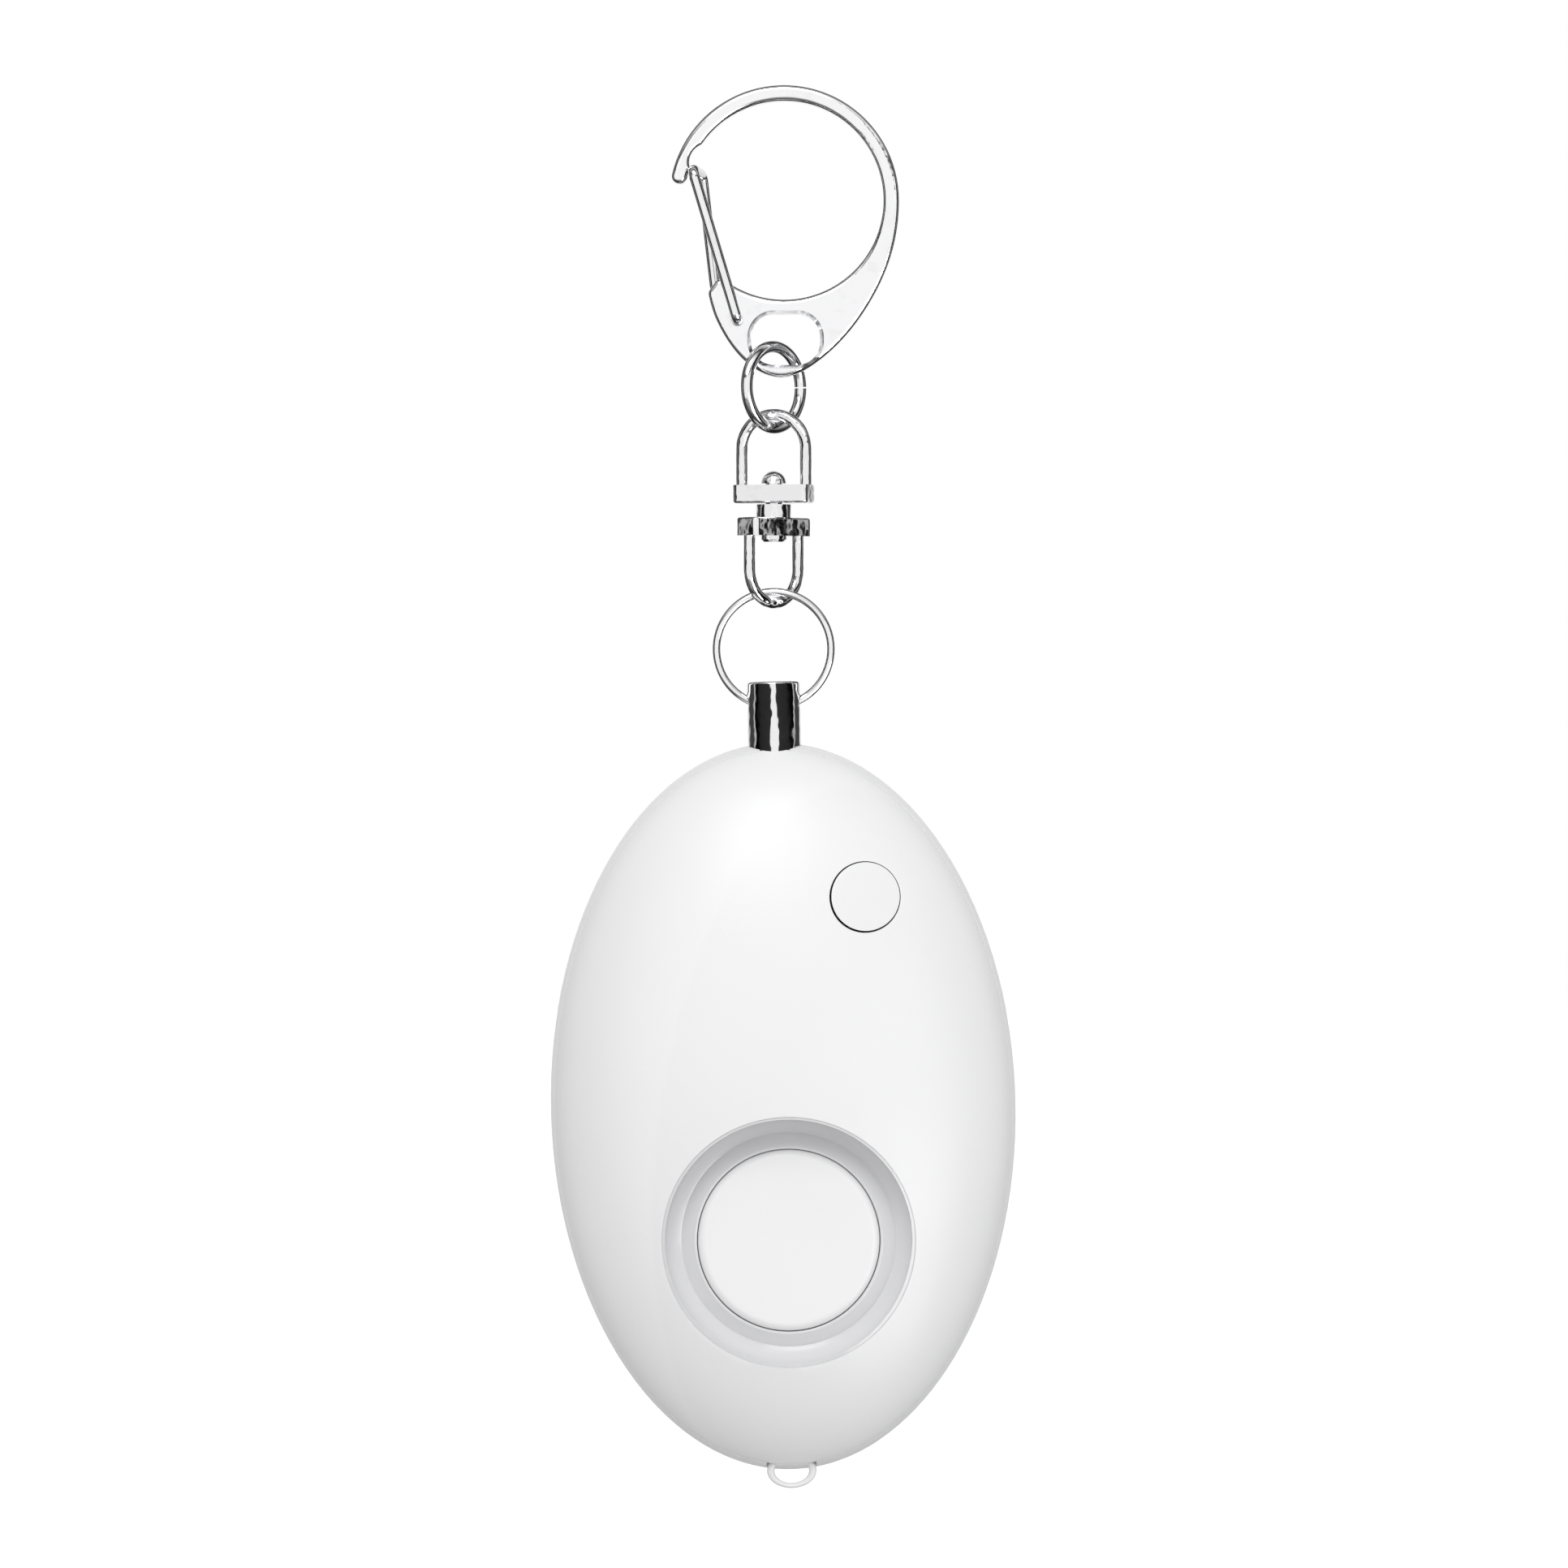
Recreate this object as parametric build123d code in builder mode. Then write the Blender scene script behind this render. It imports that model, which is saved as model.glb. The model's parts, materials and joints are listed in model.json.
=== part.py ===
from build123d import *
import os
from math import acos, asin, cos, degrees, radians, sin, sqrt

# Personal safety alarm on a key-ring clasp, in millimetres.
# It hangs from the clasp. The origin is the hang point, the inside top of the
# clasp's ring. +Z is up, +X is to the right seen from the front, -Y is the front.

# Clearances, and how far a cut runs past the face that it opens
overrun = 1.0
running_gap = 0.06
loose_gap = 0.12
solder_gap = 0.05

# Clasp: a cast ring that widens into a plate with an eye
clasp_inner_radius = 8.2
clasp_wire = 1.3
clasp_thickness = 2.2
clasp_drop = 22.8
clasp_edge_round = 0.4
nose_angle = 171
nose_tip_round = 0.6
nose_notch_depth = 0.35
nose_notch_radius = 1.6
nose_notch_angle = 153.5
nose_notch_round = 0.5
eye_width = 5.7
eye_height = 4.2
eye_round = 1.9
eye_x = 0.13
eye_bar = 1.0
eye_chamfer = 0.3
shoulder_round = 0.6
# Outline points of the plate, as shares of the ring's outer radius and of the drop
flank_shares = ((0.765, 0.716), (0.305, 0.940), (-0.015, 1.0), (-0.345, 0.940), (-0.567, 0.811))
shoulder_shares = (-0.661, 0.693)
shoulder_slope = (-0.22, 1)
shoulder_top_shares = (-0.526, 0.614)
pivot_shares = (-0.405, 0.794)

# Gate: one bent spring wire with a leg on each face of the clasp
gate_wire_size = 0.9
gate_bend = 0.62
gate_stub = 0.75
gate_top_angle = 161.5
gate_back_lag = 0.8
gate_back_drop = 0.35
gate_back_bend_shares = (-0.600, 0.668)

# Link through the clasp's eye
link_outer = 7.7
link_wire = 1.0
link_turn = 48.6
link_drop = 23.6
link_seam = 2.0
chain_x = -0.85

# Swivel: two stirrups on one rivet
stirrup_width = 6.5
stirrup_wire = 0.95
stirrup_height = 7.8
lower_stirrup_height = 7.5
stirrup_base = 1.5
stirrup_base_depth = 2.5
stirrup_round = 0.2
upper_turn = -18.0
lower_turn = 44.0
swivel_gap = 1.2
rivet_radius = 0.7
rivet_head_radius = 1.05
rivet_shoulder_radius = 1.45
rivet_tail_height = 0.5

# Pull ring
ring_outer = 10.1
ring_wire = 0.64
ring_seam = 1.0

# Pull pin
collar_radius = 2.2
collar_rise = 1.76
collar_round = 0.22
hole_slack = 0.1
collar_foot_drop = 1.8
spigot_radius = 1.0
spigot_length = 1.9
plug_radius = 1.5
plug_length = 13.0
plug_cone = 1.2
plug_tip_radius = 0.7

# Housing: an egg of elliptic sections, split a little in front of its widest outline
lean = 1.35
hole_rise = 3.3
half_width = 19.2
half_height = 30.0
front_depth = 10.5
back_depth = 8.8
back_flat = 7.4
wall = 1.4
parting = 2.0
seam_chamfer = 0.12
lip_height = 0.8
lip_wall = 0.6
lip_root = 1.0

# Sounder: dish, cap and disc on one tilted axis
dish_x = 0.2
dish_height = -11.3
dish_tilt = 7.0
dish_radius = 10.4
dish_rim_inset = 0.15
dish_wall_draft = 1.0
dish_floor = 3.9
dish_floor_wall = 0.9
dish_floor_radius = 9.0
dish_corner = 1.3
chamber_depth = 1.0
chamber_radius = 8.6
cap_radius = 7.45
cap_top = 2.45
cap_slit = 0.35
cap_round = 0.6
stem_radius = 2.4
slot_ring_radius = 5.2
slot_width = 1.2
slot_length = 3.0
slot_count = 6
piezo_radius = 9.6
piezo_plate_thickness = 0.25
ceramic_radius = 7.0
ceramic_thickness = 0.2

# Button and its switch
button_x = 7.1
button_height = 17.2
button_radius = 2.72
button_gap = 0.2
button_proud = 0.12
button_round = 0.15
button_flange_radius = 3.25
button_flange = 0.5
guide_wall = 1.0
switch_size = 4.5
switch_height = 0.9
plunger_radius = 0.9
plunger_rise = 0.6
plunger_dip = 0.45
switch_corner = 0.3

# Circuit board and what stands on it
board_back = 1.8
board_thickness = 0.8
board_low = 12.6
board_high_drop = 7.7
board_margin = 0.1
post_radius = 1.2
post_pin_radius = 0.5
post_pin_proud = 0.4
post_places = ((-9.8, 18.6), (3.4, 20.4))
coil_radius = 2.5
coil_winding_radius = 2.2
coil_height = 3.0
coil_flange = 0.5
coil_place = (-4.6, 17.0)
chip_width = 2.6
chip_length = 4.2
chip_height = 1.3
chip_lead_width = 0.4
chip_lead_reach = 0.7
chip_lead_thickness = 0.2
chip_lead_pitch = 1.0
chip_lead_count = 4
chip_place = (1.7, 16.0)
transistor_width = 2.9
transistor_length = 1.4
transistor_height = 1.0
transistor_leg = 0.5
transistor_place = (-8.4, 14.4)
resistor_width = 1.6
resistor_length = 0.8
resistor_height = 0.5
resistor_places = ((-6.8, 20.8), (-3.6, 20.8), (-0.6, 20.8), (8.4, 13.6))

# Sleeve that guides the plug, and the leaf contacts beside the plug
sleeve_low_drop = 6.8
sleeve_high_drop = 3.9
sleeve_wall = 0.8
sleeve_flange = 0.5
rib_low_drop = 5.7
rib_thickness = 1.0
rib_half_width = 4.6
leaf_thickness = 0.25
leaf_width = 3.0
leaf_rise = 3.5
leaf_foot = 1.2
leaf_reach = 1.5
leaf_flare = 0.4

# Cells and their well
cell_radius = 5.8
cell_thickness = 5.4
cell_count = 3
cell_cap_radius = 4.4
cell_cap_height = 0.25
cell_height = 4.7
cell_back = 0.2
cell_room = 0.2
well_wall = 0.8
contact_thickness = 0.3
contact_bump = 0.5
contact_bump_radius = 1.6
contact_size = 7.0
tab_width = 1.4
tab_overlap = 1.4
tab_room = 0.15

# Battery cover and screws
cover_thickness = 1.2
cover_gap = 0.1
cover_round = 2.2
cover_tab_radius = 2.5
cover_tab_drop = 1.5
grip_count = 4
grip_width = 9.0
grip_size = 0.5
grip_depth = 0.3
grip_pitch = 1.1
screw_boss_radius = 2.1
pilot_radius = 0.75
shank_gap = 0.2
head_radius = 1.6
head_height = 0.6
head_gap = 0.15
head_round = 0.25
back_boss_radius = 2.5
seat_back = 2.3
cover_seat = 0.55
shell_screw_reach = 4.4
cover_screw_reach = 2.6
cover_boss_low = 1.8
cross_width = 0.35
cross_length = 1.8
cross_depth = 0.45
upper_screw_x = 12.9
upper_screw_height = 14.3
lower_screw_height = -25.2

# Lanyard loop trapped in the seam at the bottom
loop_width = 4.0
loop_band = 0.6
loop_core_root = 0.1
loop_depth = 1.8
loop_corner = 1.5
loop_round = 0.2
loop_hang = 1.55

# Worked out: clasp
clasp_centre_z = -clasp_inner_radius
clasp_outer_radius = clasp_inner_radius + clasp_wire
clasp_front = clasp_thickness / 2


def clasp_point(shares):
    """Place a point of the clasp's outline from its shares."""
    return (shares[0] * clasp_outer_radius, -shares[1] * clasp_drop)


def around_clasp(radius, angle):
    """Place a point on a circle about the centre of the clasp's ring."""
    return (radius * cos(radians(angle)), clasp_centre_z + radius * sin(radians(angle)))


# Worked out: heights on the egg, from its top down
hole_to_centre = half_height + hole_rise
collar_foot = half_height - collar_foot_drop
sleeve_low = half_height - sleeve_low_drop
sleeve_high = half_height - sleeve_high_drop
rib_low = half_height - rib_low_drop
board_high = half_height - board_high_drop
plug_tip_height = collar_foot - plug_length
leaf_low = plug_tip_height + leaf_rise

# Worked out: chain, from the clasp down to the pin's cross hole
link_radius = (link_outer - link_wire) / 2
link_bottom = link_drop + link_radius
upper_base_z = -(link_bottom - link_wire / 2 - loose_gap - stirrup_wire + stirrup_height)
lower_base_z = upper_base_z - swivel_gap
lower_loop_bottom = lower_base_z - lower_stirrup_height
ring_radius = (ring_outer - ring_wire) / 2
ring_z = lower_loop_bottom + stirrup_wire + loose_gap + ring_wire - ring_outer / 2
ring_sag = ring_radius - sqrt(ring_radius**2 - collar_radius**2)
hole_z = ring_z - ring_radius + ring_sag / 2
hole_radius = ring_wire / 2 + ring_sag / 2 + hole_slack

# Worked out: the alarm's own planes. Heights run up its long axis from its centre.
up = Vector(-sin(radians(lean)), 0, cos(radians(lean)))
right = Vector(cos(radians(lean)), 0, sin(radians(lean)))
toward = Vector(0, -1, 0)
alarm_centre = Vector(chain_x, 0, hole_z) - up * hole_to_centre
across = Plane(origin=alarm_centre, x_dir=right, z_dir=up)
face = Plane(origin=alarm_centre, x_dir=right, z_dir=toward)
side = Plane(origin=alarm_centre, x_dir=toward * -1, z_dir=right)
front_axis = Axis(alarm_centre, toward)


def dome(x, height, depth=front_depth, inset=0.0):
    """Depth of the front's curved surface, or of one inset from it, at a place."""
    run = (x / (half_width - inset)) ** 2 + (height / (half_height - inset)) ** 2
    return (depth - inset) * sqrt(1 - run)


def ellipsoid(inset, depth):
    """Return the egg's ellipsoid of one depth, moved in by an inset."""
    with BuildPart() as blank:
        Sphere(radius=1)
        scale(by=(half_width - inset, half_height - inset, depth - inset))
    return face.location * blank.part


def export(part, name):
    """Label one finished piece and write it."""
    part.label = name
    export_step(part, f"parts/{name}.step")


def sector(centre, inner, outer, start, sweep_angle):
    """Draw a closed annular sector in the current line."""
    outer_arc = CenterArc(centre, outer, start, sweep_angle)
    inner_arc = CenterArc(centre, inner, start, sweep_angle)
    Line(outer_arc @ 0, inner_arc @ 0)
    Line(outer_arc @ 1, inner_arc @ 1)


os.makedirs("parts", exist_ok=True)

# Clasp frame: ring arc, plate, eye and the gate's pivot hole
clasp_middle = (0, clasp_centre_z)
pivot = clasp_point(pivot_shares)
eye_middle = (eye_x, -(clasp_drop - eye_bar - eye_height / 2))
notch_middle_radius = clasp_inner_radius + nose_notch_depth - nose_notch_radius
notch_half = degrees(acos((notch_middle_radius**2 + clasp_inner_radius**2 - nose_notch_radius**2)
                          / (2 * notch_middle_radius * clasp_inner_radius)))
shoulder_inside = around_clasp(clasp_inner_radius, 180 + degrees(asin(
    (clasp_centre_z - clasp_point(shoulder_top_shares)[1]) / clasp_inner_radius)))
clasp_corners = (
    (clasp_point(shoulder_shares), shoulder_round),
    (shoulder_inside, shoulder_round),
    (around_clasp(clasp_outer_radius, nose_angle), nose_tip_round),
    (around_clasp(clasp_inner_radius, nose_angle), nose_tip_round),
    (around_clasp(clasp_inner_radius, nose_notch_angle - notch_half), nose_notch_round),
    (around_clasp(clasp_inner_radius, nose_notch_angle + notch_half), nose_notch_round),
)


def in_eye(place):
    """Say whether a point of the plate's face lies on the rim of the eye."""
    return (abs(place.X - eye_middle[0]) < eye_width / 2 + running_gap
            and abs(place.Z - eye_middle[1]) < eye_height / 2 + running_gap)


with BuildPart() as clasp_frame:
    with BuildSketch(Plane.XZ.offset(-clasp_front)) as clasp_outline:
        with BuildLine():
            flank = Spline((clasp_outer_radius, clasp_centre_z),
                           *[clasp_point(shares) for shares in flank_shares],
                           clasp_point(shoulder_shares), tangents=((0, -1), shoulder_slope))
            Polyline(flank @ 1, clasp_point(shoulder_top_shares), clasp_middle, flank @ 0)
        make_face()
        with Locations(clasp_middle):
            Circle(clasp_inner_radius, mode=Mode.SUBTRACT)
        with BuildLine():
            sector(clasp_middle, clasp_inner_radius, clasp_outer_radius, 0, nose_angle)
        make_face()
        with Locations(around_clasp(notch_middle_radius, nose_notch_angle)):
            Circle(nose_notch_radius, mode=Mode.SUBTRACT)
        for place, corner_radius in clasp_corners:
            fillet(clasp_outline.vertices().sort_by_distance(place)[0], corner_radius)
        with Locations(eye_middle):
            RectangleRounded(eye_width, eye_height, eye_round, mode=Mode.SUBTRACT)
    extrude(amount=clasp_thickness)
    rims = clasp_frame.faces().filter_by(Axis.Y).edges()
    fillet(rims.filter_by(lambda edge: edge.length > 2 * clasp_inner_radius), clasp_edge_round)
    rims = clasp_frame.faces().filter_by(Axis.Y).edges()
    chamfer(rims.filter_by(lambda edge: in_eye(edge.center())), eye_chamfer)
    with BuildSketch(Plane.XZ.offset(-clasp_front)):
        with Locations(pivot):
            Circle(gate_wire_size / 2 + running_gap)
    extrude(amount=clasp_thickness, mode=Mode.SUBTRACT)
export(clasp_frame.part, "clasp_frame")

# Gate wire: stub, front leg, crossbar inside the nose, back leg, stub
gate_out = clasp_front + loose_gap + gate_wire_size / 2
gate_top_radius = clasp_inner_radius + nose_notch_depth - loose_gap - gate_wire_size / 2
gate_front_top = around_clasp(gate_top_radius, gate_top_angle)
gate_back_top = (gate_front_top[0] + gate_back_lag, gate_front_top[1] - gate_back_drop)
gate_back_bend = clasp_point(gate_back_bend_shares)
gate_inside = clasp_front - gate_stub

with BuildPart() as gate_wire:
    with BuildLine() as gate_path:
        FilletPolyline(
            (pivot[0], -gate_inside, pivot[1]),
            (pivot[0], -gate_out, pivot[1]),
            (gate_front_top[0], -gate_out, gate_front_top[1]),
            (gate_back_top[0], gate_out, gate_back_top[1]),
            (gate_back_bend[0], gate_out, gate_back_bend[1]),
            (pivot[0], gate_out, pivot[1]),
            (pivot[0], gate_inside, pivot[1]),
            radius=gate_bend,
        )
    with BuildSketch(Plane(origin=gate_path.line @ 0, z_dir=gate_path.line % 0)):
        Circle(gate_wire_size / 2)
    sweep()
export(gate_wire.part, "gate_wire")

# Jump link: a wire circle turned about the vertical, its butt joint at one side
link_along = Vector(cos(radians(link_turn)), sin(radians(link_turn)), 0)
link_normal = Vector(-sin(radians(link_turn)), cos(radians(link_turn)), 0)
with BuildPart(Plane(origin=(chain_x, 0, -link_drop), x_dir=link_along, z_dir=link_normal)) as jump_link:
    Torus(link_radius, link_wire / 2, major_angle=360 - link_seam)
export(jump_link.part, "jump_link")


def stirrup(base_z, turn, direction, height, hole_radius_here):
    """Return one half of the swivel: a loop on a flat base with the rivet's hole."""
    along = Vector(cos(radians(turn)), sin(radians(turn)), 0)
    away = Vector(0, 0, direction)
    base_plane = Plane(origin=(chain_x, 0, base_z), x_dir=along, z_dir=away)
    loop_plane = Plane(origin=(chain_x, 0, base_z), x_dir=along, z_dir=along.cross(away))
    arm = (stirrup_width - stirrup_wire) / 2
    leg_top = height - stirrup_wire / 2 - arm
    with BuildPart() as half:
        with BuildLine(loop_plane) as path:
            Line((-arm, 0), (-arm, leg_top))
            ThreePointArc((-arm, leg_top), (0, leg_top + arm), (arm, leg_top))
            Line((arm, leg_top), (arm, 0))
        with BuildSketch(Plane(origin=path.line @ 0, z_dir=path.line % 0)):
            Circle(stirrup_wire / 2)
        sweep()
        with BuildSketch(base_plane):
            RectangleRounded(stirrup_width, stirrup_base_depth, stirrup_wire / 2)
        extrude(amount=stirrup_base)
        fillet(half.faces().sort_by(Axis(base_plane.origin, away))[0].edges(), stirrup_round)
        with BuildSketch(base_plane):
            Circle(hole_radius_here)
        extrude(amount=stirrup_base, mode=Mode.SUBTRACT)
    return half.part


swivel_upper = stirrup(upper_base_z, upper_turn, 1, stirrup_height, rivet_radius + running_gap)
export(swivel_upper, "swivel_upper")
swivel_lower = stirrup(lower_base_z, lower_turn, -1, lower_stirrup_height, rivet_radius)
export(swivel_lower, "swivel_lower")

# Rivet: domed head above the upper base, shoulder between the bases, tail below
head_foot = upper_base_z + stirrup_base + loose_gap
tail_top = lower_base_z - stirrup_base
rivet_plane = Plane(origin=(chain_x, 0, 0), x_dir=(1, 0, 0), z_dir=(0, -1, 0))
with BuildPart() as swivel_rivet:
    with BuildSketch(rivet_plane):
        with BuildLine():
            Polyline(
                (0, tail_top - rivet_tail_height),
                (rivet_head_radius, tail_top - rivet_tail_height),
                (rivet_head_radius, tail_top),
                (rivet_radius, tail_top),
                (rivet_radius, lower_base_z),
                (rivet_shoulder_radius, lower_base_z),
                (rivet_shoulder_radius, upper_base_z - loose_gap),
                (rivet_radius, upper_base_z - loose_gap),
                (rivet_radius, head_foot),
                (rivet_head_radius, head_foot),
            )
            dome_arc = CenterArc((0, head_foot), rivet_head_radius, 0, 90)
            Line(dome_arc @ 1, (0, tail_top - rivet_tail_height))
        make_face()
    revolve(axis=Axis((chain_x, 0, 0), (0, 0, 1)))
    chamfer(swivel_rivet.edges().filter_by(GeomType.CIRCLE).group_by(Axis.Z)[0], stirrup_round)
export(swivel_rivet.part, "swivel_rivet")

# Pull ring: thin wire circle, face on, its butt joint hidden in the cross hole
with BuildPart(Plane(origin=(chain_x, 0, ring_z), x_dir=(0, 0, -1), z_dir=(0, -1, 0))) as pull_ring:
    Torus(ring_radius, ring_wire / 2, major_angle=360 - ring_seam)
export(pull_ring.part, "pull_ring")

# Pull pin: polished collar with a cross hole, and the insulating plug pressed in it
with BuildPart() as pin_collar:
    with BuildSketch(across.offset(collar_foot)):
        Circle(collar_radius)
    extrude(amount=hole_to_centre + collar_rise - collar_foot)
    fillet(pin_collar.edges().filter_by(GeomType.CIRCLE), collar_round)
    with BuildSketch(side.offset(-collar_radius - overrun)):
        with Locations((0, hole_to_centre)):
            Circle(hole_radius)
    extrude(amount=2 * (collar_radius + overrun), mode=Mode.SUBTRACT)
    with BuildSketch(across.offset(collar_foot)):
        Circle(spigot_radius)
    extrude(amount=spigot_length, mode=Mode.SUBTRACT)
export(pin_collar.part, "pin_collar")

with BuildPart() as pin_plug:
    with BuildSketch(face):
        with BuildLine():
            Polyline(
                (0, plug_tip_height),
                (plug_tip_radius, plug_tip_height),
                (plug_radius, plug_tip_height + plug_cone),
                (plug_radius, collar_foot),
                (spigot_radius, collar_foot),
                (spigot_radius, collar_foot + spigot_length),
                (0, collar_foot + spigot_length),
                close=True,
            )
        make_face()
    revolve(axis=Axis(alarm_centre, up))
export(pin_plug.part, "pin_plug")

# Sounder's axis: it leaves the dome square on, tilted a little down
dish_surface = dome(dish_x, dish_height)
dish_normal = toward * cos(radians(dish_tilt)) - up * sin(radians(dish_tilt))
dish_origin = alarm_centre + right * dish_x + up * dish_height + toward * dish_surface
dish = Plane(origin=dish_origin, x_dir=right, z_dir=dish_normal)
dish_axis = Axis(dish_origin, dish_normal)
dish_profile = Plane(origin=dish_origin, x_dir=right, z_dir=right.cross(dish_normal))
dish_back = dish_floor + dish_floor_wall + chamber_depth

# Worked out: depths of the button, the board and the screws
board_front = board_back + board_thickness
switch_top = board_front + switch_height
flange_low = switch_top + plunger_rise
flange_high = flange_low + button_flange
guide_end = flange_high + loose_gap
button_hole = button_radius + button_gap
pocket_radius = button_flange_radius + button_gap
button_place = (button_x, button_height)
upper_screws = ((-upper_screw_x, upper_screw_height), (upper_screw_x, upper_screw_height))
shell_screw_places = upper_screws + ((0, lower_screw_height),)
cover_screw_place = (0, cell_height - cell_radius - cell_room - well_wall - cover_tab_drop)

# Worked out: the well, its cover, the sleeve and the lanyard loop
well_inner_radius = cell_radius + cell_room
well_outer_radius = well_inner_radius + well_wall
stack_half = cell_thickness * cell_count / 2
well_half = stack_half + contact_bump + contact_thickness
well_outer_half = well_half + well_wall
cell_middle = (cell_back, cell_height)
cover_inner_back = back_flat - cover_thickness
inner_back_flat = back_flat - wall
tab_x = well_half - contact_thickness / 2
tab_y = tab_width / 2 - board_back + solder_gap
sleeve_inner = plug_radius + running_gap
sleeve_waist = sleeve_inner + sleeve_wall
sleeve_outer = sleeve_waist + sleeve_flange
sleeve_top = collar_foot - loose_gap
pin_hole = collar_radius + running_gap
rib_middle = (front_depth + parting) / 2

front_egg = ellipsoid(0, front_depth)
front_hollow = ellipsoid(wall, front_depth)
back_egg = ellipsoid(0, back_depth)
back_hollow = ellipsoid(wall, back_depth)
parting_plane = face.offset(parting)


def rods(plane, places, radius, start, end):
    """Return round rods along a plane's normal, from one distance to another."""
    with BuildPart() as stock:
        with BuildSketch(plane.offset(start)):
            with Locations(*places):
                Circle(radius)
        extrude(amount=end - start)
    return stock.part


def bars(plane, places, width, height, start, end):
    """Return rectangular bars along a plane's normal, from one distance to another."""
    with BuildPart() as stock:
        with BuildSketch(plane.offset(start)):
            with Locations(*places):
                Rectangle(width, height)
        extrude(amount=end - start)
    return stock.part


def slab(egg, low, high):
    """Return the slice of an egg between two depths."""
    with BuildPart() as piece:
        add(egg)
        split(bisect_by=face.offset(low), keep=Keep.TOP)
        split(bisect_by=face.offset(high), keep=Keep.BOTTOM)
    return piece.part


def oval_at(inset, depth):
    """Work out the half sizes of the front's section at a depth, moved in by an inset."""
    share = sqrt(1 - (depth / (front_depth - inset)) ** 2)
    return ((half_width - inset) * share, (half_height - inset) * share)


def grown(oval, amount):
    """Return an oval's half sizes with an amount added."""
    return (oval[0] + amount, oval[1] + amount)


def oval_ring(outer, inner, low, high):
    """Return an oval ring between two depths, from its half sizes."""
    with BuildPart() as ring:
        with BuildSketch(face.offset(low)):
            Ellipse(*outer)
            Ellipse(*inner, mode=Mode.SUBTRACT)
        extrude(amount=high - low)
    return ring.part


# Slot in both shells that traps the lanyard loop. The loop reaches far enough inside
# for the core within it to stay joined to the shell.
loop_core_start = half_height - oval_at(0, parting + loop_depth / 2 + running_gap)[1]
loop_length = loop_hang + loop_core_start + loop_core_root + running_gap + loop_band
loop_middle = (0, loop_length / 2 - half_height - loop_hang)

with BuildPart() as loop_slot:
    with BuildSketch(parting_plane):
        with Locations(loop_middle):
            RectangleRounded(loop_width + 2 * running_gap, loop_length + 2 * running_gap, loop_corner)
            RectangleRounded(loop_width - 2 * loop_band - 2 * running_gap,
                             loop_length - 2 * loop_band - 2 * running_gap,
                             loop_corner - loop_band, mode=Mode.SUBTRACT)
    extrude(amount=loop_depth / 2 + running_gap, both=True)

# Front shell: half egg with bosses, a guide for the button and the dish's hole
with BuildPart() as front_inside:
    add(rods(face, shell_screw_places, screw_boss_radius, parting, front_depth))
    add(rods(face, post_places, post_radius, board_front, front_depth))
    add(rods(face, (button_place,), button_hole + guide_wall, guide_end, front_depth))
    add(bars(across, ((0, -rib_middle),), 2 * rib_half_width, front_depth - parting,
             rib_low, rib_low + rib_thickness))
    add(rods(across, ((0, 0),), sleeve_waist + solder_gap, rib_low, rib_low + rib_thickness),
        mode=Mode.SUBTRACT)
    add(front_egg, mode=Mode.INTERSECT)
    add(rods(face, post_places, post_pin_radius, board_back - post_pin_proud, board_front))

with BuildPart() as front_shell:
    add(slab(front_egg, parting, front_depth))
    seam_edge = front_shell.faces().sort_by(front_axis)[0].edges().sort_by(SortBy.LENGTH)[-1]
    chamfer(seam_edge, seam_chamfer)
    add(front_hollow, mode=Mode.SUBTRACT)
    add(front_inside.part)
    add(rods(dish, ((0, 0),), dish_radius, -dish_back, front_depth), mode=Mode.SUBTRACT)
    add(rods(face, (button_place,), button_hole, 0, front_depth), mode=Mode.SUBTRACT)
    add(rods(face, (button_place,), pocket_radius, 0, guide_end), mode=Mode.SUBTRACT)
    add(rods(across, ((0, 0),), pin_hole, sleeve_high, half_height), mode=Mode.SUBTRACT)
    add(rods(face, shell_screw_places, pilot_radius, 0, shell_screw_reach + loose_gap),
        mode=Mode.SUBTRACT)
    add(loop_slot.part, mode=Mode.SUBTRACT)
export(front_shell.part, "front_shell")

# Back shell: the rest of the egg, with the lip, the battery well and the screws' seats
with BuildPart() as body_blank:
    add(slab(front_egg, 0, front_depth))
    add(slab(back_egg, -back_flat, 0))

lip_outside = grown(oval_at(wall, parting + lip_height), -loose_gap)
lip_inside = grown(lip_outside, -lip_wall)
with BuildPart() as lip:
    add(oval_ring(lip_outside, lip_inside, parting, parting + lip_height))
    add(oval_ring(oval_at(wall / 2, parting), lip_inside, parting - lip_root, parting))
    add(rods(face, shell_screw_places, screw_boss_radius + loose_gap, parting, front_depth),
        mode=Mode.SUBTRACT)

seam_outline = oval_at(0, parting)
seam_groove = oval_ring(grown(seam_outline, overrun), grown(seam_outline, -seam_chamfer),
                        parting - seam_chamfer, parting)

with BuildPart() as well_outer:
    with BuildSketch(side.offset(-well_outer_half)):
        with Locations(cell_middle):
            Circle(well_outer_radius)
            Rectangle(back_depth, 2 * well_outer_radius, align=(Align.MIN, Align.CENTER))
    extrude(amount=2 * well_outer_half)

with BuildPart() as well_inner:
    with BuildSketch(side.offset(-well_half)):
        with Locations(cell_middle):
            Circle(well_inner_radius)
            Rectangle(back_depth, 2 * well_inner_radius, align=(Align.MIN, Align.CENTER))
    extrude(amount=2 * well_half)

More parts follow.
